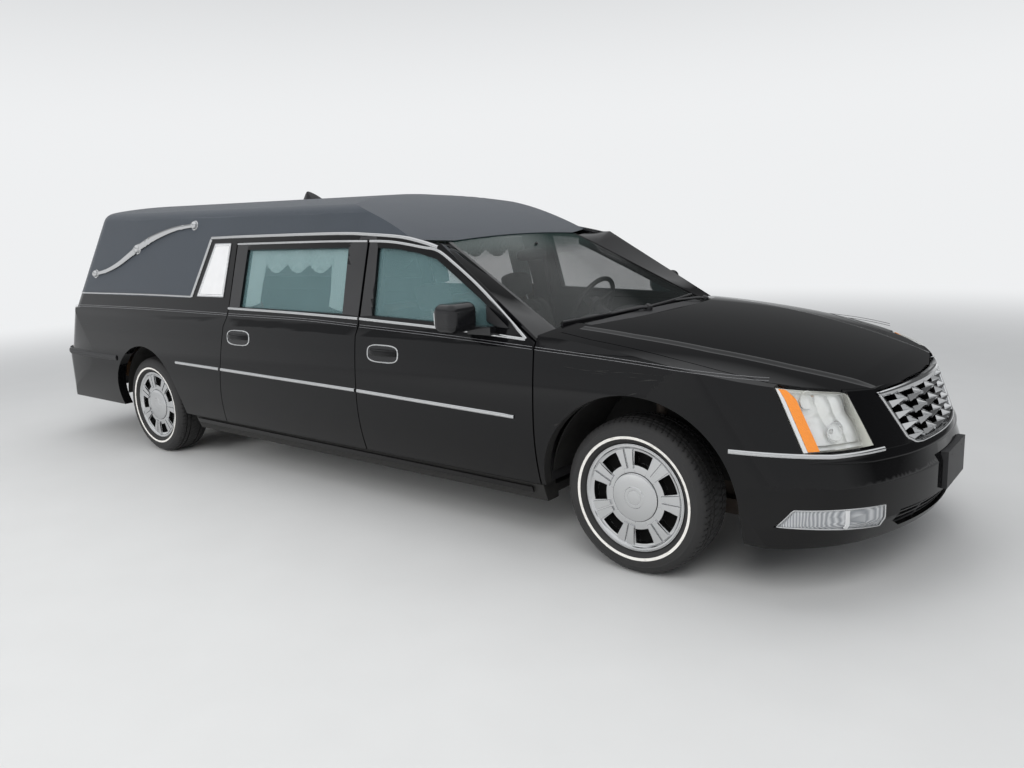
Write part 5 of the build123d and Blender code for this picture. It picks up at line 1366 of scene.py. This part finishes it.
def make_headlamps():
    """Each headlamp: a clear lens over a bright bucket, two bowls, a stepped reflector and two strips."""
    def ahead(grid):
        return nose_out(grid[..., 1], grid[..., 2])

    lens = lamp_grid(0.001, below=0.0005)
    back = lamp_grid(-0.075, inner=0.014, below=0.030)
    rim = lamp_grid(-0.008, inner=0.010, below=0.016)
    sheet_pair("headlamp_lens", lens, 0.004, LENS, BODY, "lamp_lens", -ahead(lens), "headlamps")
    rows, columns = back.shape[:2]
    edge = grid_edge(rows, columns)
    walls = np.stack([grid.reshape(-1, 3)[edge] for grid in (rim, 0.4 * rim + 0.6 * back, back)])
    points, faces = joined((back.reshape(-1, 3), grid_faces(rows, columns)),
                           (walls.reshape(-1, 3), grid_faces(3, len(edge), wrap_columns=True)))
    floor = (rows - 1) * (columns - 1)
    if np.cross(back[1, 0] - back[0, 0], back[0, 1] - back[0, 0])[0] > 0:
        faces[:floor] = [f[::-1] for f in faces[:floor]]
    for side, sign in SIDES:
        new_piece(f"headlamp_bucket_{side}", *on_side((points, faces), sign), [REFLECTOR], "body", "chrome")
    bowls = [bowl(nose_point(np.array(y), np.array(z), -0.052), (0.90, 0.42, 0.06), r, 0.032)
             for y, z, r in ((0.694, 0.672, 0.041), (0.752, 0.795, 0.036))]
    pair("headlamp_bowls", joined(*bowls), CHROME, BODY, "chrome")
    steps = lamp_grid(-0.048, rows=24, columns=40, inner=0.016, rear_share=0.20, front_share=0.95,
                      below=0.034)
    wave = (0.008 * np.abs(np.sin(np.linspace(0, 3 * np.pi, 40)))[None, :]
            + 0.010 * np.abs(np.sin(np.linspace(0, 2 * np.pi, 24)))[:, None])
    steps = steps + wave[..., None] * ahead(steps)
    amber = lamp_grid(0.0022, columns=10, inner=0.010, rear_share=0.050, front_share=0.175)
    pale = lamp_grid(0.0018, columns=6, inner=0.007, rear_share=0.006, front_share=0.046)
    for name, grid, wall, finish, slot in (("headlamp_reflector", steps, 0.002, REFLECTOR, "chrome"),
                                           ("amber_strip", amber, 0.006, AMBER, "lamp_lens"),
                                           ("pale_strip", pale, 0.006, PANEL, "lamp_lens")):
        sheet_pair(name, grid, wall, finish, BODY, slot, -ahead(grid))


def make_fog_lamps():
    """Low lamps in the bumper corners: a fluted lens, a divider, and a bright bezel round each opening."""
    outline = np.array([(0.562, 0.2945), (0.720, 0.312), (0.876, 0.3315), (0.849, 0.3975), (0.700, 0.3905),
                        (0.562, 0.3820)])
    closed = np.vstack([outline, outline[:1]])
    length = np.concatenate([[0], np.cumsum(np.linalg.norm(np.diff(closed, axis=0), axis=1))])
    where = np.linspace(0, length[-1], 96, endpoint=False)
    y, z = np.interp(where, length, closed[:, 0]), np.interp(where, length, closed[:, 1])
    centre_y, centre_z = 0.715, 0.348
    scale = np.array([1.0, 0.96, 0.7, 0.4, 0.02])[:, None]
    deep = np.array([-0.010, -0.0045, -0.003, -0.002, -0.002])[:, None, None]
    yy, zz = centre_y + (y - centre_y) * scale, centre_z + (z - centre_z) * scale
    dome = nose_point(yy, zz) + nose_out(yy, zz) * deep
    faces = grid_faces(5, 96, wrap_columns=True) + [list(range(4 * 96, 5 * 96))[::-1], list(range(96))]
    pair("fog_lens", (dome.reshape(-1, 3), faces), FLUTED, BODY, "lamp_lens", replaces="fog_lamps")
    rim = carried(nose_point(y, z, -0.002), nose_out(y, z), half_round(0.006, 0.003, 0.004), closed=True)
    bar_y, bar_z = np.full(12, 0.716), np.linspace(0.316, 0.388, 12)
    divider = carried(nose_point(bar_y, bar_z, -0.003), nose_out(bar_y, bar_z), flat_bar(0.017, 0.004, 0.003))
    pair("fog_bezel", rim, CHROME, BODY, "chrome")
    pair("fog_divider", divider, PANEL, BODY, "lamp_lens")


# Soft goods
def make_curtains():
    """Window curtains: one cloth of pleats that falls full length at both sides of the window and ends in
    three swags between them. The pleats are a sine of the distance along the rail; a swag's edge is a hanging
    arc."""
    front_x, rear_x, top, side_fall = 0.322, -0.606, 1.398, 1.066
    fall_share = 0.17
    u = np.linspace(0, 1, 420)[None, :]
    v = np.linspace(0, 1, 46)[:, None]
    x = front_x + (rear_x - front_x) * u
    from_side = np.clip(np.minimum(u, 1 - u) / fall_share, 0, 1)
    arcs = np.abs(np.sin(3 * np.pi * (u - fall_share) / (1 - 2 * fall_share)))
    step = np.clip((from_side - 0.90) / 0.1, 0, 1)
    tail = side_fall + 0.03 * from_side ** 2
    bottom = tail + (1.318 - 0.050 * arcs - tail) * step ** 2 * (3 - 2 * step)
    z = top + (bottom - top) * v
    fold = 0.0040 * np.sin(2 * np.pi * 52 * u) * (0.35 + 0.65 * np.sqrt(v))
    drape = 0.0045 * np.sin(2 * np.pi * (2.5 * v + 3 * arcs)) * step
    cloth = np.stack(np.broadcast_arrays(x, upper_half(z) - (0.034 + fold + drape), z), -1)
    for side, sign in SIDES:
        flip = np.array([1, sign, 1])
        inward = np.broadcast_to(np.array([0.0, -sign, 0.0]), cloth.shape)
        piece = solid_sheet(f"window_curtain_{side}", cloth * flip, 0.0012, CURTAIN, f"rear_door_{side}",
                            "curtain_cloth", inward)
        layer = piece.data.uv_layers.new(name="weave")
        corner = np.zeros(len(piece.data.loops), np.int32)
        piece.data.loops.foreach_get("vertex_index", corner)
        side_view = points_of(piece.data)[corner][:, [0, 2]]
        layer.data.foreach_set("uv", side_view.reshape(-1).astype(np.float32))
        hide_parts(f"curtain_{side}")


def soft_block(centre, size, lean):
    """Start of a cushion: a rounded block whose section is a superellipse, crowned towards its middle."""
    a = np.linspace(-np.pi / 2, np.pi / 2, 26)[:, None]
    b = np.linspace(0, 2 * np.pi, 72, endpoint=False)[None, :]
    px = swollen(np.cos(a), 0.32) * swollen(np.cos(b), 0.32)
    py = swollen(np.cos(a), 0.32) * swollen(np.sin(b), 0.32)
    pz = swollen(np.sin(a), 0.45) * np.ones_like(b)
    local = np.stack([px * size[0] / 2, py * size[1] / 2, pz * size[2] / 2], -1).reshape(-1, 3)
    turn = np.array([[cos(lean), 0, sin(lean)], [0, 1, 0], [-sin(lean), 0, cos(lean)]])
    return merged((local @ turn.T + centre, grid_faces(26, 72, wrap_columns=True)), 1e-5)


def apply_modifiers(piece):
    """The evaluated mesh takes the place of the piece's own, and its modifiers go."""
    graph = bpy.context.evaluated_depsgraph_get()
    made = bpy.data.meshes.new_from_object(piece.evaluated_get(graph))
    piece.modifiers.clear()
    piece.data = made


def swell(piece, voxel, pressure, farthest):
    """Cloth simulation with pressure and no gravity, 20 frames, with each point's travel limited."""
    remesh = piece.modifiers.new("even", "REMESH")
    remesh.mode = "VOXEL"
    remesh.voxel_size = voxel
    apply_modifiers(piece)
    before = points_of(piece.data)
    cloth = piece.modifiers.new("swell", "CLOTH")
    cloth.settings.use_pressure = True
    cloth.settings.uniform_pressure_force = pressure
    cloth.settings.effector_weights.gravity = 0.0
    cloth.settings.quality = 4
    scene = bpy.context.scene
    for number in range(1, 21):
        scene.frame_set(number)
    apply_modifiers(piece)
    scene.frame_set(1)
    move = points_of(piece.data) - before
    far = np.linalg.norm(move, axis=1, keepdims=True)
    place = before + move * np.minimum(1, farthest / np.maximum(far, 1e-9))
    piece.data.vertices.foreach_set("co", place.reshape(-1))
    piece.data.update()


SEAT_PARTS = (("cushion", (0.905, 0.380, 0.470), (0.455, 0.475, 0.115), radians(4.0), 0.022),
              ("backrest", (0.652, 0.380, 0.772), (0.105, 0.465, 0.535), radians(-14.0), 0.022),
              ("headrest", (0.548, 0.380, 1.110), (0.078, 0.235, 0.145), radians(-14.0), 0.012))


def sewn(place, centre, size, lean, upright):
    """The pad's points with channels pressed into its middle panel and bolsters raised beside it."""
    local = place - centre
    along = local[:, 0] * cos(lean) - local[:, 2] * sin(lean)
    up = local[:, 0] * sin(lean) + local[:, 2] * cos(lean)
    from_middle = np.abs(local[:, 1])
    front, run, length = (along, up, size[2]) if upright else (up, along, size[0])
    inwards = np.array([cos(lean), 0, -sin(lean)] if upright else [sin(lean), 0, cos(lean)])
    panel, seam, pitch = 0.165, 0.006, 0.09
    showing = np.clip((front - 0.012) / 0.02, 0, 1)
    from_lane = np.abs(np.mod(local[:, 1] + pitch / 2, pitch) - pitch / 2)
    lanes = np.exp(-((from_lane / seam) ** 2)) * (from_middle < 0.150)
    sides = np.exp(-(((from_middle - panel) / seam) ** 2))
    cross = np.exp(-(((run - 0.30 * length) / seam) ** 2)) * (from_middle < panel)
    bolster = 0.012 * np.clip((from_middle - panel) / 0.04, 0, 1) * showing
    press = 0.006 * np.maximum(np.maximum(lanes, sides), cross) * showing - bolster
    return place - press[:, None] * inwards


def make_seats():
    """Front seats: swollen leather pads with sewn channels pressed into their middle panels."""
    for part, centre, size, lean, farthest in SEAT_PARTS:
        block = outwards(soft_block(np.array(centre), size, lean))
        piece = new_piece(f"seat_{part}_left", *block, LEATHER, "body", "seat_cloth")
        swell(piece, 0.008, 4.0, farthest)
        if part != "headrest":
            place = sewn(points_of(piece.data), centre, size, lean, part == "backrest")
            piece.data.vertices.foreach_set("co", place.reshape(-1))
        smooth = piece.modifiers.new("smooth", "SUBSURF")
        smooth.levels = smooth.render_levels = 1
        apply_modifiers(piece)
        piece.data.polygons.foreach_set("use_smooth", np.full(len(piece.data.polygons), True))
        if part == "cushion":
            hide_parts("front_seats")
        shape = points_of(piece.data), [list(f.vertices) for f in piece.data.polygons]
        twin = new_piece(f"seat_{part}_right", *other_side(shape), LEATHER, "body", "seat_cloth")
        twin.data.polygons.foreach_set("use_smooth", np.full(len(twin.data.polygons), True))
    posts = []
    for y in (0.320, 0.440):
        path = smooth_path([(0.60, y, 0.985), (0.582, y, 1.02), (0.566, y, 1.075)], 12)
        posts.append(outwards(carried(path, np.array([0.0, 1.0, 0.0]), round_bar(0.006))))
    pair("headrest_posts", joined(*posts), CHROME, BODY, "chrome")


# Small fittings
SCREEN_FOOT_X, SCREEN_FOOT_Z, SCREEN_SLOPE = 1.665, 0.998, 0.5075
SCREEN_OUT = np.array([0.4525, 0.0, 0.8917])


def screen_bow(y):
    """How far the bowed windscreen stands above its foot line at a distance across the car."""
    return 0.0348 * (1 - (y / 0.745) ** 2)


def make_wipers():
    """An arm and a blade on a round boss, twice."""
    for side, pivot, tip, ends in (("left", (1.735, 0.590), (1.668, 0.300), (0.62, 0.04)),
                                   ("right", (1.742, -0.070), (1.663, -0.380), (-0.06, -0.68))):
        x, y = np.linspace(pivot[0], tip[0], 24), np.linspace(pivot[1], tip[1], 24)
        z = SCREEN_FOOT_Z + (SCREEN_FOOT_X - np.minimum(x, SCREEN_FOOT_X)) * SCREEN_SLOPE + screen_bow(y)
        lift = np.interp(np.linspace(0, 1, 24), [0, 0.2, 1], [0.020, 0.026, 0.016])
        arm = np.stack([x, y, z], -1) + lift[:, None] * SCREEN_OUT
        section = round_bar(1.0, 10) * (0.008, 0.005)
        arm_form = outwards(carried(arm, SCREEN_OUT, section, scale=np.linspace(1.5, 0.8, 24)))
        y, z = np.linspace(*ends, 40), np.linspace(1.026, 1.020, 40)
        x = SCREEN_FOOT_X + (SCREEN_FOOT_Z + screen_bow(y) - z) / SCREEN_SLOPE
        blade = np.stack([x, y, z], -1) + 0.014 * SCREEN_OUT
        blade_form = outwards(carried(blade, SCREEN_OUT, flat_bar(0.016, 0.016, 0.010, 0.004)))
        base = [(0.0001, 0.026), (0.016, 0.024), (0.022, 0.010), (0.024, -0.012), (0.0001, -0.012)]
        boss = turned_solid(base, arm[0] - 0.012 * SCREEN_OUT, SCREEN_OUT, 24)
        new_piece(f"wiper_{side}", *joined(arm_form, blade_form, boss), PLASTIC, "body", "black_plastic")


def make_roof_fin():
    """Small fin on the roof: an ellipse that shrinks and moves back as it rises."""
    s, a = np.linspace(0, 1, 22)[:, None], np.linspace(0, 2 * np.pi, 36, endpoint=False)[None, :]
    length = 0.100 * (1 - s) ** 0.75 + 0.006
    width = 0.026 * (1 - s) ** 0.9 + 0.003
    fin = np.stack([-0.940 - 0.045 * s ** 1.5 + length * np.cos(a), width * np.sin(a),
                    1.7135 + 0.062 * s * np.ones_like(a)], -1)
    fin[0, :, 2] -= 0.012
    faces = grid_faces(22, 36, wrap_columns=True) + [list(range(36))[::-1], list(range(21 * 36, 22 * 36))]
    new_piece("roof_fin", *outwards((fin.reshape(-1, 3), faces)), PIANO, "body", "gloss_black")


def make_mirrors():
    """Plates behind the door mirrors, their glasses, and the mirror inside the windscreen."""
    sail = quad_grid([(1.420, 1.036), (1.492, 1.034), (1.335, 1.136), (1.350, 1.062)], 12, 12)
    face = side_point(sail[..., 0], sail[..., 1], -0.006)
    sheet_pair("mirror_sail", face, 0.010, PLASTIC, FRONT_DOORS, "black_plastic", -side_normal(sail[..., 1]))
    a = np.linspace(0, 2 * np.pi, 48, endpoint=False)
    ring = np.stack([np.full(48, 1.2035), 0.998 + 0.074 * swollen(np.cos(a), 0.5),
                     1.087 + 0.048 * swollen(np.sin(a), 0.5)], -1)
    middle = ring.mean(0)
    plate = np.concatenate([ring + (0.006, 0, 0), ring, middle + (ring - middle) * 0.98, middle[None]])
    fan = [[96 + i, 96 + (i + 1) % 48, 144] for i in range(48)]
    faces = grid_faces(3, 48, wrap_columns=True) + fan + [list(range(48))]
    pair("mirror_glass", (plate, faces), CHROME, FRONT_DOORS, "chrome")
    a = np.linspace(-np.pi / 2, np.pi / 2, 16)[:, None]
    b = np.linspace(0, 2 * np.pi, 48, endpoint=False)[None, :]
    shell = np.stack([0.965 + 0.022 * swollen(np.sin(a), 0.6) * np.ones_like(b),
                      0.125 * np.cos(a) ** 0.5 * swollen(np.cos(b), 0.6),
                      1.318 + 0.034 * np.cos(a) ** 0.5 * swollen(np.sin(b), 0.7)], -1)
    head = outwards(merged((shell.reshape(-1, 3), grid_faces(16, 48, wrap_columns=True)), 1e-5))
    line = smooth_path([(0.975, 0, 1.335), (0.985, 0, 1.365), (1.005, 0, 1.383)], 10)
    stem = outwards(carried(line, np.array([0.0, 1.0, 0.0]), round_bar(0.008)))
    new_piece("rear_view_mirror", *joined(head, stem), PLASTIC, "body", "black_plastic")


def make_dash_trim():
    """Two hoods and five groups of vent bars on the dashboard."""
    hoods, vents, slat = [], [], flat_bar(0.005, 0.010, 0.02, 0.001)
    for y0, y1, z0 in ((0.20, 0.56, 0.955), (-0.14, 0.14, 0.948)):
        bow = np.sin(np.linspace(0, np.pi, 30))
        path = np.stack([1.400 - 0.02 * bow, np.linspace(y0, y1, 30), z0 + 0.030 * bow], -1)
        hoods.append(outwards(carried(path, np.array([0.0, 0.0, 1.0]), round_bar(1.0, 14) * (0.060, 0.016))))
    for y in (-0.62, -0.34, 0.10, -0.10, 0.62):
        for z in (0.868, 0.880, 0.892):
            path = np.stack([np.full(8, 1.302), np.linspace(y - 0.045, y + 0.045, 8), np.full(8, z)], -1)
            vents.append(outwards(carried(path, np.array([-1.0, 0.0, 0.3]), slat)))
    new_piece("dash_hoods", *joined(*hoods), PLASTIC, "body", "black_plastic")
    new_piece("dash_vents", *joined(*vents), SATIN, "body", "chrome")


def on_gate(points, count, profile, out=0.0):
    """A profile carried along a line (y, z) on the crowned loading door, faces outwards."""
    y, z = smooth_path(points, count).T
    x = TAIL_X + tail_shift(z) + TAIL_CROWN_R - np.sqrt(TAIL_CROWN_R ** 2 - y ** 2)
    normal = unit(np.stack([-np.ones(count), y / TAIL_CROWN_R, np.full(count, TAIL_SLOPE)], -1))
    return outwards(carried(np.stack([x, y, z], -1) + out * normal, normal, profile))


def make_tail_fittings():
    """Loading door: bright bands, window trim, high brake lamp, handle and reversing lamps."""
    band = on_gate([(-0.56, 1.052), (0.56, 1.052)], 60, half_round(0.030, 0.008))
    hood = on_gate([(-0.33, 0.955), (0.33, 0.955)], 40, half_round(0.050, 0.016))
    ring = [(-0.482, 1.120), (0.482, 1.120), (0.431, 1.480), (-0.431, 1.480)]
    trim = [on_gate([a, b], 30, half_round(0.016, 0.006), -0.001) for a, b in zip(ring, ring[1:] + ring[:1])]
    brake = on_gate([(-0.20, 1.530), (0.20, 1.530)], 30, flat_bar(0.026, 0.012))
    grip = on_gate([(-0.545, 0.885), (-0.440, 0.885)], 24, round_bar(1.0, 14) * (0.014, 0.020))
    for name, shape, finish, slot in (("gate_band", joined(band, hood), CHROME, "chrome"),
                                      ("gate_window_trim", joined(*trim), CHROME, "chrome"),
                                      ("high_brake_lamp", brake, RED, "red_lens"),
                                      ("gate_handle", grip, CHROME, "chrome")):
        new_piece(name, *shape, finish, "loading_door", slot)
    lamp = on_gate([(0.30, 0.800), (0.54, 0.800)], 24, flat_bar(0.056, 0.007))
    pair("reversing_lamp", lamp, FLUTED, ("loading_door", "loading_door"), "lamp_lens")


def make_cowl_strip():
    """Sealing strip along the cowl, seen as the dark line between glass and bonnet."""
    y = np.linspace(-0.72, 0.72, 60)
    x = 1.672 + 0.098 * (1 - (y / 0.76) ** 2)
    z = bonnet_plain(np.full(60, 1.72), y) - 0.022
    strip = carried(np.stack([x, y, z], -1), np.array([0.2, 0.0, 1.0]), flat_bar(0.070, 0.006, 0.010))
    new_piece("cowl_grille", *outwards(strip), PLASTIC, "body", "black_plastic")


# Studio
BACKDROP = (0.86, 0.87, 0.88, 1.0)
SKY_BEHIND = ((0.30, 0.86), (0.37, 0.40), (0.46, 0.40), (0.54, 1.0))
SKY_BESIDE = ((0.02, 0.66), (0.10, 0.13), (0.44, 0.11), (0.54, 1.0))
CAMERA_PLACE = (3.839, -3.783, 1.509)
CAMERA_YAW, CAMERA_PITCH, CAMERA_ROLL = radians(128.98), radians(-11.13), radians(-2.60)
FILM_WIDTH, FOCAL_SHARE = 36.0, 828.0 / 1024.0
LAMPS = (("key", (5.5, -6.0, 6.5), (0.3, -0.5, 0.8), 360.0, 5.0),
         ("fill", (-3.0, -9.0, 3.4), (-0.8, -0.5, 1.0), 480.0, 6.0),
         ("top", (-0.5, 1.0, 7.5), (0.0, 0.0, 1.0), 270.0, 7.0))


def ray_kinds(g):
    """1 for rays that the camera sends, that are mirrored and that pass through glass, else 0."""
    ray = g.node("ShaderNodeLightPath")
    return [Value(g, ray.outputs[f"Is {kind} Ray"]) for kind in ("Camera", "Glossy", "Transmission")]


def studio_floor():
    """Pale floor that keeps the shadow near the car and passes into the backdrop further off."""
    g = Graph("studio floor")
    speck = g.noise(3.0, 4.0)
    g.finish(g.blend(speck, (0.62, 0.62, 0.61), (0.66, 0.66, 0.65)), speck * 0.1 + 0.6, g.noise(80.0), 0.0002)
    x, y, _ = g.axes()
    away = ((x * x + y * y) ** 0.5).ramp(5.0, 13.0)
    camera, glossy, through = ray_kinds(g)
    glow = g.node("ShaderNodeEmission", Color=BACKDROP, Strength=1.0).outputs[0]
    surface = g.tree.nodes["Material Output"].inputs["Surface"]
    seen = (camera + glossy + through).ramp(0.0, 1.0)
    g.feed(surface, g.shader_mix(away * seen, g.shader.outputs[0], glow))
    return g.material


def grey_by_height(g, height, stops):
    """Greys blended between heights from 0 to 1."""
    made = g.node("ShaderNodeValToRGB")
    g.feed(made.inputs[0], height)
    steps = made.color_ramp.elements
    for place, level in stops:
        steps.new(place).color = (level * 0.97, level * 0.985, level, 1.0)
    steps.remove(steps[0])
    steps.remove(steps[-1])
    return made.outputs[0]


def make_world():
    """Pale background, a sky in bands for mirrored rays, and soft light for all the rest."""
    world = bpy.data.worlds.new("studio")
    bpy.context.scene.world = world
    world.use_nodes = True
    g = Nodes(world.node_tree, "Generated")

    def sky(colour):
        return g.node("ShaderNodeBackground", Color=colour).outputs[0]

    soft = g.tree.nodes["Background"]
    soft.inputs["Color"].default_value = (0.86, 0.89, 0.94, 1.0)
    soft.inputs["Strength"].default_value = 0.50
    _, beside, height = g.axes()
    camera, glossy, through = ray_kinds(g)
    straight = g.shader_mix(height.ramp(0.10, 0.62), sky(BACKDROP), sky((0.16, 0.17, 0.18, 1.0)))
    bands = [grey_by_height(g, height, stops) for stops in (SKY_BEHIND, SKY_BESIDE)]
    mirrored = sky(g.blend(beside.ramp(-0.15, 0.35, "LINEAR"), *bands))
    seen = g.shader_mix(glossy, straight, mirrored)
    both_lights = g.shader_mix(camera.larger(glossy).larger(through), soft.outputs[0], seen)
    g.feed(g.tree.nodes["World Output"].inputs[0], both_lights)


def make_camera():
    """The camera fitted to the photograph, from its place and its yaw, pitch and roll."""
    yaw, pitch, roll = CAMERA_YAW, CAMERA_PITCH, CAMERA_ROLL
    ahead = Vector((cos(yaw) * cos(pitch), sin(yaw) * cos(pitch), sin(pitch)))
    right = Vector((sin(yaw), -cos(yaw), 0.0))
    up = right.cross(ahead)
    turned_right = right * cos(roll) + up * sin(roll)
    turned_up = -right * sin(roll) + up * cos(roll)
    camera = bpy.data.cameras.new("camera")
    camera.sensor_width = FILM_WIDTH
    camera.lens = FILM_WIDTH * FOCAL_SHARE
    holder = linked("camera", camera)
    turn = Matrix((turned_right, turned_up, -ahead)).transposed().to_4x4()
    holder.matrix_world = Matrix.Translation(CAMERA_PLACE) @ turn
    bpy.context.scene.camera = holder


def make_studio():
    """Pale floor and background, soft lamps, and the photograph's camera."""
    reach = np.linspace(-60.0, 60.0, 9)
    across, along = np.meshgrid(reach, reach)
    mesh = bpy.data.meshes.new("studio_floor")
    mesh.from_pydata(np.stack([across, along, 0 * across - 0.0005], -1).reshape(-1, 3), [], grid_faces(9, 9))
    mesh.materials.append(studio_floor())
    linked("studio_floor", mesh)
    make_world()
    for name, place, aim, power, width in LAMPS:
        lamp = bpy.data.lights.new(name, "AREA")
        lamp.energy = power
        lamp.size = width
        holder = linked(name, lamp)
        holder.location = place
        holder.rotation_euler = (Vector(aim) - Vector(place)).to_track_quat("-Z", "Y").to_euler()
        holder.visible_glossy = False
    make_camera()
    bpy.context.scene.view_settings.view_transform = "Standard"


for step in (make_studio, dress_nodes, body_panels, make_bonnet, make_grille, make_mouldings,
             make_lower_lines, make_bumper_strips, make_bumper_shoulder, make_white_panels, make_handles,
             make_landau_bars, make_wheels, make_headlamps, make_fog_lamps, make_curtains, make_seats,
             make_wipers, make_roof_fin, make_mirrors, make_dash_trim, make_tail_fittings, make_cowl_strip):
    step()
